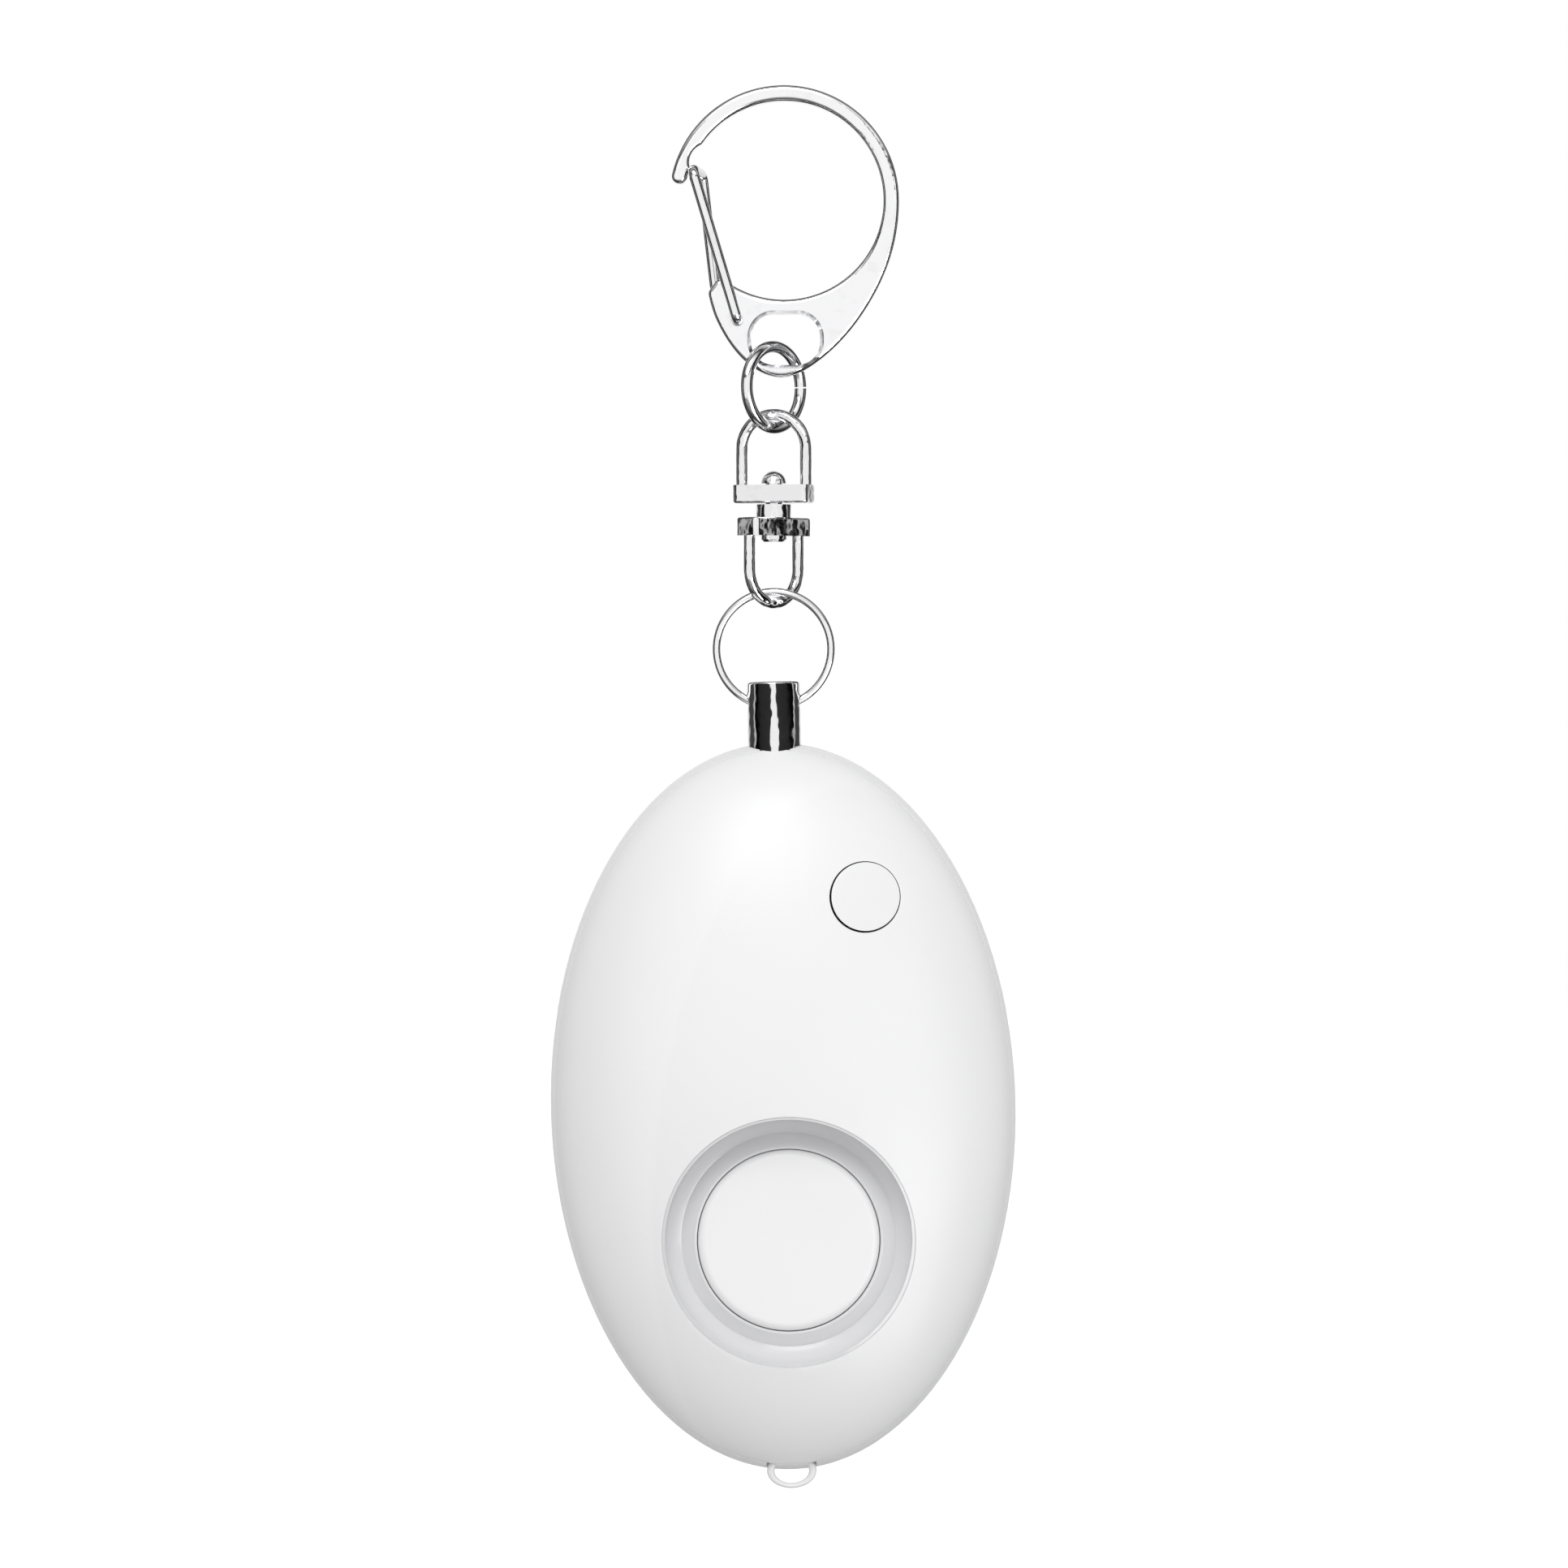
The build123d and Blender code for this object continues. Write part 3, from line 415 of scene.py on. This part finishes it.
def pick(piece: bpy.types.Object, test: Callable[[Vector], bool]) -> None:
    """Select the vertices of a mesh that pass a test, and enter edit mode.

    Args:
        piece: The mesh object.
        test: Says whether a vertex at a place is taken.
    """
    choose(piece)
    bpy.ops.object.mode_set(mode="EDIT")
    bpy.ops.mesh.select_mode(type="VERT")
    bpy.ops.mesh.select_all(action="DESELECT")
    bpy.ops.object.mode_set(mode="OBJECT")
    for vertex in piece.data.vertices:
        vertex.select = test(vertex.co)
    bpy.ops.object.mode_set(mode="EDIT")


def combine(piece: bpy.types.Object, tool: bpy.types.Object, cut: Cut) -> None:
    """Combine a mesh with a tool, which is then deleted.

    Args:
        piece: The mesh that stays.
        tool: The mesh that works on it.
        cut: Which way they combine.
    """
    choose(piece)
    modifier = piece.modifiers.new("combine", "BOOLEAN")
    modifier.operation = cut.value
    modifier.solver = "EXACT"
    modifier.object = tool
    bpy.ops.object.modifier_apply(modifier=modifier.name)
    bpy.data.objects.remove(tool)


def ease(piece: bpy.types.Object, width: float, segments: int = 3, angle: float = 35.0) -> None:
    """Round a mesh's sharp edges and shade the rest smooth.

    Args:
        piece: The mesh object.
        width: The rounding's width in metres.
        segments: Its steps.
        angle: Edges sharper than this are rounded, in degrees.
    """
    choose(piece)
    modifier = piece.modifiers.new("ease", "BEVEL")
    modifier.width = width
    modifier.segments = segments
    modifier.limit_method = "ANGLE"
    modifier.angle_limit = math.radians(angle)
    modifier.harden_normals = False
    bpy.ops.object.modifier_apply(modifier=modifier.name)
    bpy.ops.object.shade_smooth_by_angle(angle=math.radians(angle))


def turned(name: str, profile: list[Point]) -> bpy.types.Object:
    """Turn a closed profile about the Z axis, ring by ring.

    Args:
        name: The piece's name.
        profile: Radius and height of each ring. A radius of nought closes an end.

    Returns:
        The mesh object, closed where its first and last rings are on the axis or the same.
    """
    clear_selection()
    radius, height = max(profile[0][0], AXIS_RADIUS), profile[0][1]
    bpy.ops.mesh.primitive_circle_add(vertices=DISH_STEPS, radius=radius, fill_type="NOTHING",
                                      location=(0, 0, 0))
    piece = bpy.context.active_object
    piece.name = name
    bpy.ops.object.mode_set(mode="EDIT")
    bpy.ops.mesh.select_all(action="SELECT")
    bpy.ops.transform.translate(value=(0, 0, height))
    for next_radius, next_height in profile[1:]:
        bpy.ops.mesh.extrude_edges_move(
            TRANSFORM_OT_translate={"value": (0, 0, next_height - height)})
        share = max(next_radius, AXIS_RADIUS) / radius
        bpy.ops.transform.resize(value=(share, share, 1), center_override=(0, 0, 0))
        radius, height = max(next_radius, AXIS_RADIUS), next_height
    bpy.ops.mesh.select_all(action="SELECT")
    bpy.ops.mesh.remove_doubles(threshold=MERGE_DISTANCE)
    bpy.ops.mesh.normals_make_consistent(inside=False)
    bpy.ops.object.mode_set(mode="OBJECT")
    return piece


def arc(centre: Point, radius: float, start: float, end: float, steps: int) -> list[Point]:
    """List points of an arc in a profile.

    Args:
        centre: Its centre, as radius and height.
        radius: Its radius.
        start: Its first angle in degrees.
        end: Its last angle in degrees.
        steps: Its steps.

    Returns:
        The points from start to end.
    """
    angles = [math.radians(start + (end - start) * step / steps) for step in range(steps + 1)]
    return [(centre[0] + radius * math.cos(a), centre[1] + radius * math.sin(a)) for a in angles]


def frame_at(origin: Vector, x: Vector, z: Vector) -> Matrix:
    """Return the frame with an origin, an x and a z direction."""
    y = z.cross(x)
    rotation = Matrix((x, y, z)).transposed().to_4x4()
    return Matrix.Translation(origin) @ rotation


@dataclass
class AlarmPlace:
    """Where the alarm's body stands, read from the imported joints."""

    hole_to_centre: float = 33.3 * MM
    up: Vector = field(default_factory=Vector)
    right: Vector = field(default_factory=Vector)
    toward: Vector = field(default_factory=lambda: Vector((0, -1, 0)))
    centre: Vector = field(default_factory=Vector)

    def read(self, joints: list[dict[str, Any]]) -> None:
        """Work out the body's axes and centre.

        Args:
            joints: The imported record's joints.
        """
        by_name = {joint["name"]: joint for joint in joints}
        self.up = -Vector(by_name["pin_pull"]["axis"])
        self.right = self.toward.cross(self.up) * -1
        self.centre = Vector(by_name["pin_swing"]["pos_m"]) - self.up * self.hole_to_centre

    def face(self, u: float = 0.0, w: float = 0.0, depth: float = 0.0) -> Matrix:
        """Return a frame on the front: x right, y up, z towards the front.

        Args:
            u: How far its origin is to the right of the centre.
            w: How far it is above the centre.
            depth: How far it is in front of the centre.

        Returns:
            The frame.
        """
        origin = self.centre + self.right * u + self.up * w + self.toward * depth
        return frame_at(origin, self.right, self.toward)

    def across(self, w: float) -> Matrix:
        """Return a frame across the body, at a height over the centre: x right, z up."""
        return frame_at(self.centre + self.up * w, self.right, self.up)


@dataclass
class Housing:
    """The egg-shaped front shell, with its button and its lanyard loop."""

    place: AlarmPlace
    paints: Paints
    half_width: float = 19.2 * MM
    half_height: float = 30.0 * MM
    front_depth: float = 10.5 * MM
    back_depth: float = 8.8 * MM
    back_flat: float = 7.4 * MM
    wall: float = 1.4 * MM
    parting: float = 2.0 * MM
    pin_hole: float = 2.26 * MM
    pin_hole_low: float = 26.1 * MM
    pin_hole_length: float = 8.0 * MM
    hole_length: float = 16.0 * MM
    hole_back: float = 6.0 * MM
    button_at: Point = (7.1 * MM, 17.2 * MM)
    button_hole: float = 2.92 * MM
    button_length: float = 8.0 * MM
    lip_round: float = 0.3 * MM
    button_radius: float = 2.8 * MM
    button_shift: Point = (0.05 * MM, 0.04 * MM)
    button_foot: float = 4.1 * MM
    button_proud: float = 0.12 * MM
    button_round: float = 0.16 * MM
    flange_radius: float = 3.25 * MM
    flange_height: float = 0.5 * MM
    loop_width: float = 4.1 * MM
    loop_wire: float = 0.32 * MM
    loop_hang: float = 1.55 * MM
    loop_depth: float = 1.4 * MM

    def egg(self, name: str, inset: float, segments: int = SKIN_STEPS) -> bpy.types.Object:
        """Make the whole egg, moved in by an inset.

        Args:
            name: The mesh's name.
            inset: How far it is inside the outer surface.
            segments: Steps round the egg.

        Returns:
            A closed mesh in the alarm's place.
        """
        clear_selection()
        bpy.ops.mesh.primitive_uv_sphere_add(segments=segments, ring_count=segments // 2, radius=1.0)
        body = bpy.context.active_object
        body.name = name
        bpy.ops.transform.resize(value=(self.half_width - inset, self.half_height - inset,
                                        self.front_depth - inset))
        bpy.ops.object.transform_apply(location=False, rotation=False, scale=True)
        pick(body, lambda at: at.z < BEHIND_MIDDLE)
        share = (self.back_depth - inset) / (self.front_depth - inset)
        bpy.ops.transform.resize(value=(1, 1, share), center_override=(0, 0, 0))
        bpy.ops.mesh.select_all(action="SELECT")
        bpy.ops.mesh.bisect(plane_co=(0, 0, inset - self.back_flat), plane_no=(0, 0, -1),
                            use_fill=True, clear_outer=True)
        bpy.ops.object.mode_set(mode="OBJECT")
        stand(body, self.place.face())
        return body

    def front_half(self, name: str) -> bpy.types.Object:
        """Make the front half of the egg with its wall.

        Args:
            name: The shell's name.

        Returns:
            The hollow half.
        """
        shell = self.egg(name, 0.0)
        seam = self.place.centre + self.place.toward * self.parting
        choose(shell)
        bpy.ops.object.mode_set(mode="EDIT")
        bpy.ops.mesh.select_all(action="SELECT")
        bpy.ops.mesh.bisect(plane_co=seam, plane_no=self.place.toward, use_fill=True,
                            clear_inner=True)
        bpy.ops.object.mode_set(mode="OBJECT")
        combine(shell, self.egg("hollow", self.wall, HOLLOW_STEPS), Cut.AWAY)
        pin_hole = self.rod(self.place.across(self.pin_hole_low), self.pin_hole, self.pin_hole_length)
        combine(shell, pin_hole, Cut.AWAY)
        return shell

    def rod(self, frame: Matrix, radius: float, length: float) -> bpy.types.Object:
        """Make a round tool that stands on a frame.

        Args:
            frame: The middle of its foot, with z along it.
            radius: Its radius.
            length: Its length.

        Returns:
            The tool.
        """
        clear_selection()
        bpy.ops.mesh.primitive_cylinder_add(vertices=ROD_STEPS, radius=radius, depth=length,
                                            location=(0, 0, length / 2))
        tool = bpy.context.active_object
        bpy.ops.object.transform_apply(location=True, rotation=False, scale=False)
        stand(tool, frame)
        return tool

    def build(self, dish_frame: Matrix, dish_radius: float) -> None:
        """Build the front shell.

        Args:
            dish_frame: The sounder's frame on the dome.
            dish_radius: The radius of its hole.
        """
        front = self.front_half("front_skin")
        back_of_dish = dish_frame @ Matrix.Translation((0, 0, -self.hole_back))
        combine(front, self.rod(back_of_dish, dish_radius, self.hole_length), Cut.AWAY)
        button_place = self.place.face(*self.button_at)
        combine(front, self.rod(button_place, self.button_hole, self.hole_length), Cut.AWAY)
        ease(front, self.lip_round)
        self.dress(front, "front_shell", Surface.SHELL)

    def button(self) -> None:
        """Build the button's cap, a little off the middle of its hole."""
        right, up = self.button_at
        foot = self.place.face(right + self.button_shift[0], up + self.button_shift[1],
                               self.button_foot)
        cap = self.rod(foot, self.button_radius, self.button_length)
        cap.name = "button_skin"
        combine(cap, self.egg("button_dome", -self.button_proud), Cut.WITHIN)
        ease(cap, self.button_round, segments=4)
        flange = self.rod(self.place.face(right, up, self.button_foot), self.flange_radius,
                          self.flange_height)
        combine(cap, flange, Cut.JOIN)
        self.dress(cap, "button_cap", Surface.BUTTON, "button")

    def lanyard(self) -> None:
        """Build the small loop that is trapped in the seam, half of it below the shells."""
        clear_selection()
        half = self.loop_width / 2 - self.loop_wire
        bpy.ops.mesh.primitive_torus_add(major_radius=half, minor_radius=self.loop_wire,
                                         major_segments=96, minor_segments=24)
        loop = bpy.context.active_object
        loop.name = "lanyard_skin"
        share = (self.loop_hang - self.loop_wire) / half
        bpy.ops.transform.resize(value=(1, share, 1))
        bpy.ops.object.transform_apply(location=True, rotation=True, scale=True)
        bpy.ops.object.shade_smooth()
        stand(loop, self.place.face(0, -self.half_height, self.loop_depth))
        self.dress(loop, "lanyard_loop", Surface.SHELL)

    def dress(self, piece: bpy.types.Object, node: str, surface: Surface,
              body: str = "alarm") -> None:
        """Give a piece its finish, its body and the node that it stands for.

        Args:
            piece: The finished mesh.
            node: The CAD node that it stands for.
            surface: Its finish.
            body: The body that it rides on.
        """
        self.paints.put(piece, surface)
        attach(piece, body)
        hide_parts(node)
        log.info("%s stands for %s", piece.name, node)


@dataclass
class Studio:
    """The floor, the lights, the world and the camera."""

    width_at_object: float = 129.5 * MM
    distance: float = 0.75
    aim_height: float = -56.37 * MM
    near_limit: float = 0.01
    floor_height: float = -0.150
    floor_size: float = 6.0
    floor_shade: float = 0.93
    floor_roughness: float = 0.9
    floor_glow: float = 0.55
    key_at: Triple = (-0.06, -0.55, 0.46)
    key_aim: Triple = (0, 0, -0.07)
    key_size: float = 0.40
    key_power: float = 1.8
    fill_at: Triple = (0.40, -0.42, -0.34)
    fill_aim: Triple = (0, 0, -0.09)
    fill_size: float = 0.40
    fill_power: float = 2.4
    panel_side: float = 0.344
    panel_front: float = 0.49
    panel_size: float = 0.51
    panel_power: float = 0.77
    room: float = 1.12
    room_least: float = 0.64
    room_even: float = 0.50
    room_right: float = 0.02
    room_front: float = 0.31
    room_top: float = 0.17
    mirror_depths: tuple[Point, ...] = ((0.0, 1.0), (0.24, 0.97), (0.37, 0.06), (0.43, 0.05),
                                        (0.47, 0.60), (0.53, 0.55), (0.60, 0.05), (0.84, 0.05),
                                        (0.93, 0.85), (1.0, 0.95))
    mirror_sides: tuple[Point, ...] = ((0.0, 1.0), (0.20, 0.97), (0.25, 0.03), (1.0, 0.02))
    mirror_bands: tuple[Point, ...] = ((0.0, 0.0), (0.40, 0.0), (0.55, 1.0), (1.0, 1.0))
    mirror_heights: tuple[Point, ...] = ((0.0, 0.10), (0.22, 0.35), (0.36, 1.0), (1.0, 1.0))

    def build(self, collar: bpy.types.Object) -> None:
        """Set up the studio.

        Args:
            collar: The polished collar, which the panels spare.
        """
        self.floor()
        self.panels(collar)
        self.world()
        self.light("key_soft", self.key_at, self.key_aim, self.key_size, self.key_power)
        self.light("fill_soft", self.fill_at, self.fill_aim, self.fill_size, self.fill_power)
        self.camera()

    def floor(self) -> None:
        """Lay a plain pale floor. The metal reflects the room past it."""
        clear_selection()
        bpy.ops.mesh.primitive_plane_add(size=self.floor_size, location=(0, 0, self.floor_height))
        floor = bpy.context.active_object
        floor.name = "floor"
        bpy.ops.object.transform_apply(location=True, rotation=False, scale=False)
        made = bpy.data.materials.new("floor_pale")
        made.use_nodes = True
        surface = made.node_tree.nodes["Principled BSDF"]
        surface.inputs["Base Color"].default_value = shade((self.floor_shade,) * 3)
        surface.inputs["Roughness"].default_value = self.floor_roughness
        surface.inputs["Emission Color"].default_value = shade((1.0, 1.0, 1.0))
        surface.inputs["Emission Strength"].default_value = self.floor_glow
        floor.data.materials.append(made)
        floor.visible_glossy = False
        floor.visible_diffuse = False

    def panels(self, collar: bpy.types.Object) -> None:
        """Hang two white panels in front, left and right, for all bright pieces but the collar.

        The collar then shows the dark room between them, as two black bands.

        Args:
            collar: The polished collar.
        """
        spared = bpy.data.collections.new("spared_collar")
        spared.objects.link(collar)
        spared.collection_objects[0].light_linking.link_state = "EXCLUDE"
        for name, way in (("panel_left", -1), ("panel_right", 1)):
            place = (way * self.panel_side, -self.panel_front, self.aim_height)
            lamp = self.light(name, place, (0, 0, self.aim_height), self.panel_size,
                              self.panel_power)
            lamp.visible_camera = False
            lamp.visible_diffuse = False
            lamp.light_linking.receiver_collection = spared

    def world(self) -> None:
        """Light from a white room with dark sides, as round a product table.

        The camera sees plain white. Matt surfaces are lit from all round, most from the
        front and above. Bright ones reflect a white strip straight in front, dark sides
        and a room that is dark again past the sides, which draws a dark line along both
        edges of each wire. The panels light the sides for all but the collar.
        """
        world = bpy.data.worlds.new("studio")
        bpy.context.scene.world = world
        world.use_nodes = True
        graph = Graph(world.node_tree)
        seen = graph.add("ShaderNodeLightPath", {}, output=0)
        mirrored = Socket(graph, seen.socket.node.outputs["Is Glossy Ray"])
        x, y, z = self.split(graph, graph.add("ShaderNodeTexCoord", {}, output=0))
        depth = self.ramp(graph, self.mirror_depths, self.to_unit(y))
        height = self.ramp(graph, self.mirror_heights, self.to_unit(z))
        strip = self.ramp(graph, self.mirror_sides, x.unsigned())
        band = self.ramp(graph, self.mirror_bands, z.unsigned())
        mirror = depth * height * strip.larger(band).larger(y.above(0.0))
        even = z * self.room_top - y * self.room_front + x * self.room_right + self.room_even
        matt = (even * self.room).clamped().larger(self.room_least)
        shown = graph.mix(mirrored, matt, mirror)
        colour = graph.mix(seen, shown, shade((1.0, 1.0, 1.0)))
        background = graph.add("ShaderNodeBackground", {}, colour, 1.0)
        graph.add("ShaderNodeOutputWorld", {}, background)

    @staticmethod
    def ramp(graph: Graph, stops: tuple[Point, ...], value: Socket) -> Socket:
        """Return a grey read from a ramp's stops."""
        return graph.add("ShaderNodeValToRGB", {"stops": stops}, value)

    @staticmethod
    def to_unit(part: Socket) -> Socket:
        """Return a direction's part, moved from between -1 and 1 to between 0 and 1."""
        return part * 0.5 + 0.5

    @staticmethod
    def split(graph: Graph, vector: Socket) -> list[Socket]:
        """Return the three parts of a vector."""
        first = graph.add("ShaderNodeSeparateXYZ", {}, vector)
        return [Socket(graph, output) for output in first.socket.node.outputs]

    def light(self, name: str, at: Triple, aim: Triple, size: float,
              power: float) -> bpy.types.Object:
        """Add one soft square light.

        Args:
            name: Its name.
            at: Where it stands.
            aim: What it points at.
            size: Its side.
            power: Its power in watts.

        Returns:
            The light.
        """
        clear_selection()
        bpy.ops.object.light_add(type="AREA", location=at)
        lamp = bpy.context.active_object
        lamp.name = name
        lamp.data.size = size
        lamp.data.energy = power
        lamp.rotation_euler = (Vector(aim) - Vector(at)).to_track_quat("-Z", "Y").to_euler()
        return lamp

    def camera(self) -> None:
        """Place the camera in front, level with the middle of the picture."""
        clear_selection()
        bpy.ops.object.camera_add(location=(0, -self.distance, self.aim_height),
                                  rotation=(math.radians(90), 0, 0))
        camera = bpy.context.active_object
        camera.data.sensor_width = FILM_WIDTH
        camera.data.lens = FILM_WIDTH * self.distance / self.width_at_object
        camera.data.clip_start = self.near_limit
        bpy.context.scene.camera = camera
        bpy.context.scene.view_settings.view_transform = "Standard"


@dataclass
class Sounder:
    """The sunken dish with its cap, lower on the front."""

    place: AlarmPlace
    paints: Paints
    at: Point = (0.2 * MM, -10.9 * MM)
    tilt: float = 3.0
    radius: float = 10.4 * MM
    wall_inside: float = 10.12 * MM
    draft: float = 0.1 * MM
    corner: float = 2.3 * MM
    corner_height: float = 1.6 * MM
    corner_arc: tuple[float, float, int] = (-65, 0, 14)
    floor: float = 3.9 * MM
    rim_stock: float = 1.5 * MM
    ridge: float = 7.5 * MM
    ridge_top: float = 2.8 * MM
    ridge_round: float = 0.15 * MM
    ridge_arc: tuple[float, float, int] = (180, 50, 6)
    cap_radius: float = 7.45 * MM
    cap_top: float = 2.45 * MM
    cap_round: float = 0.7 * MM
    cap_arc: tuple[float, float, int] = (90, 0, 10)
    cap_slit: float = 0.35 * MM
    stem: float = 2.35 * MM
    back: float = 5.8 * MM
    chamber: float = 8.6 * MM
    chamber_floor: float = 4.8 * MM
    stem_hole: float = 2.4 * MM
    slot_ring: float = 5.2 * MM
    slot_count: int = 6
    slot_size: Triple = (1.2 * MM, 3.0 * MM, 3.0 * MM)
    rim_inset: float = 0.1 * MM
    rim_round: float = 0.06 * MM
    smooth_angle: float = 40.0

    def frame(self, housing: Housing) -> Matrix:
        """Return the dish's frame on the dome.

        Args:
            housing: The shells, for the dome's depth.

        Returns:
            The frame, with z out of the dome.
        """
        run = (self.at[0] / housing.half_width) ** 2 + (self.at[1] / housing.half_height) ** 2
        depth = housing.front_depth * math.sqrt(1 - run)
        origin = (self.place.centre + self.place.right * self.at[0] + self.place.up * self.at[1]
                  + self.place.toward * depth)
        angle = math.radians(self.tilt)
        normal = self.place.toward * math.cos(angle) - self.place.up * math.sin(angle)
        return frame_at(origin, self.place.right, normal)

    def build(self, housing: Housing) -> None:
        """Turn the dish and clip its rim to the dome.

        Args:
            housing: The shells, whose dome the rim follows.
        """
        corner = arc((self.wall_inside - self.corner, -self.corner_height), self.corner,
                     *self.corner_arc)
        ridge = arc((self.ridge + self.ridge_round, -self.ridge_top - self.ridge_round),
                    self.ridge_round, *self.ridge_arc)
        profile = [(self.stem_hole, -self.floor), (self.ridge, -self.floor), *ridge,
                   *corner, (self.wall_inside + self.draft, self.rim_stock),
                   (self.radius, self.rim_stock), (self.radius, -self.back), (self.chamber, -self.back),
                   (self.chamber, -self.chamber_floor), (self.stem_hole, -self.chamber_floor),
                   (self.stem_hole, -self.floor)]
        dish = turned("dish_skin", profile)
        for number in range(self.slot_count):
            angle = 2 * math.pi * number / self.slot_count
            clear_selection()
            bpy.ops.mesh.primitive_cube_add(size=1.0, location=(0, 0, 0))
            slot = bpy.context.active_object
            bpy.ops.transform.resize(value=self.slot_size)
            bpy.ops.object.transform_apply(location=False, rotation=False, scale=True)
            out = Matrix.Translation((self.slot_ring, 0, -self.floor))
            stand(slot, Matrix.Rotation(angle, 4, "Z") @ out)
            combine(dish, slot, Cut.AWAY)
        stand(dish, self.frame(housing))
        combine(dish, housing.egg("dome", self.rim_inset, DISH_STEPS), Cut.WITHIN)
        ease(dish, self.rim_round, segments=2, angle=self.smooth_angle)
        housing.dress(dish, "sounder_dish", Surface.DISH)

    def cover(self, housing: Housing) -> None:
        """Turn the disc in the middle, with a soft rim and its stem.

        Args:
            housing: The shells.
        """
        rim = arc((self.cap_radius - self.cap_round, -self.cap_top - self.cap_round), self.cap_round,
                  *self.cap_arc)
        foot = self.cap_slit - self.floor
        profile = [(0.0, -self.cap_top), (self.cap_radius / 2, -self.cap_top), *rim,
                   (self.cap_radius, foot), (self.stem, foot),
                   (self.stem, -self.chamber_floor), (0.0, -self.chamber_floor)]
        cap = turned("cap_skin", profile)
        stand(cap, self.frame(housing))
        choose(cap)
        bpy.ops.object.shade_smooth_by_angle(angle=math.radians(self.smooth_angle))
        housing.dress(cap, "sounder_cap", Surface.CAP)


NODE_SURFACES: dict[Surface, tuple[str, ...]] = {
    Surface.SHELL: ("back_shell", "battery_cover", "lanyard_loop"),
    Surface.BUTTON: ("button_cap",),
    Surface.DISH: ("sounder_dish",),
    Surface.CAP: ("sounder_cap",),
    Surface.INNER: ("pin_plug", "pin_socket", "switch_plunger"),
    Surface.BOARD: ("circuit_board",),
    Surface.BLACK: ("control_chip", "transistor", "switch_body"),
    Surface.GREY: ("board_resistors",),
    Surface.WINDING: ("boost_coil",),
    Surface.CERAMIC: ("piezo_ceramic",),
    Surface.CAST: ("clasp_frame",),
    Surface.SWIVEL: ("swivel_upper", "swivel_lower", "swivel_rivet"),
    Surface.WIRE: ("gate_wire", "jump_link", "pull_ring"),
    Surface.CHROME: ("pin_collar",),
    Surface.BRASS: ("contact_spring_left", "contact_spring_right", "piezo_plate"),
    Surface.STEEL: ("cell_contact_positive", "cell_contact_negative"),
    Surface.CELL: ("button_cell_1", "button_cell_2", "button_cell_3"),
    Surface.SCREW: ("cover_screw", "shell_screws"),
}


def paint_nodes(nodes: dict[str, bpy.types.Object], paints: Paints) -> None:
    """Give every CAD node its finish and smooth shading.

    Args:
        nodes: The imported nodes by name.
        paints: The finishes.
    """
    for surface, names in NODE_SURFACES.items():
        for name in names:
            paints.put(nodes[name], surface)
            choose(nodes[name])
            bpy.ops.object.shade_smooth_by_angle(angle=math.radians(NODE_SMOOTH_ANGLE))
            log.info("%s is finished as %s", name, surface.value.name)


def main() -> None:
    """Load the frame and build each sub-assembly."""
    logging.basicConfig(level=logging.INFO)
    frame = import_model()
    paints = Paints()
    place = AlarmPlace()
    place.read(frame["joints"])
    housing = Housing(place, paints)
    sounder = Sounder(place, paints)
    paint_nodes(frame["nodes"], paints)
    housing.build(sounder.frame(housing), sounder.radius)
    housing.button()
    housing.lanyard()
    sounder.build(housing)
    sounder.cover(housing)
    Studio().build(frame["nodes"]["pin_collar"])


if __name__ == "__main__":
    main()
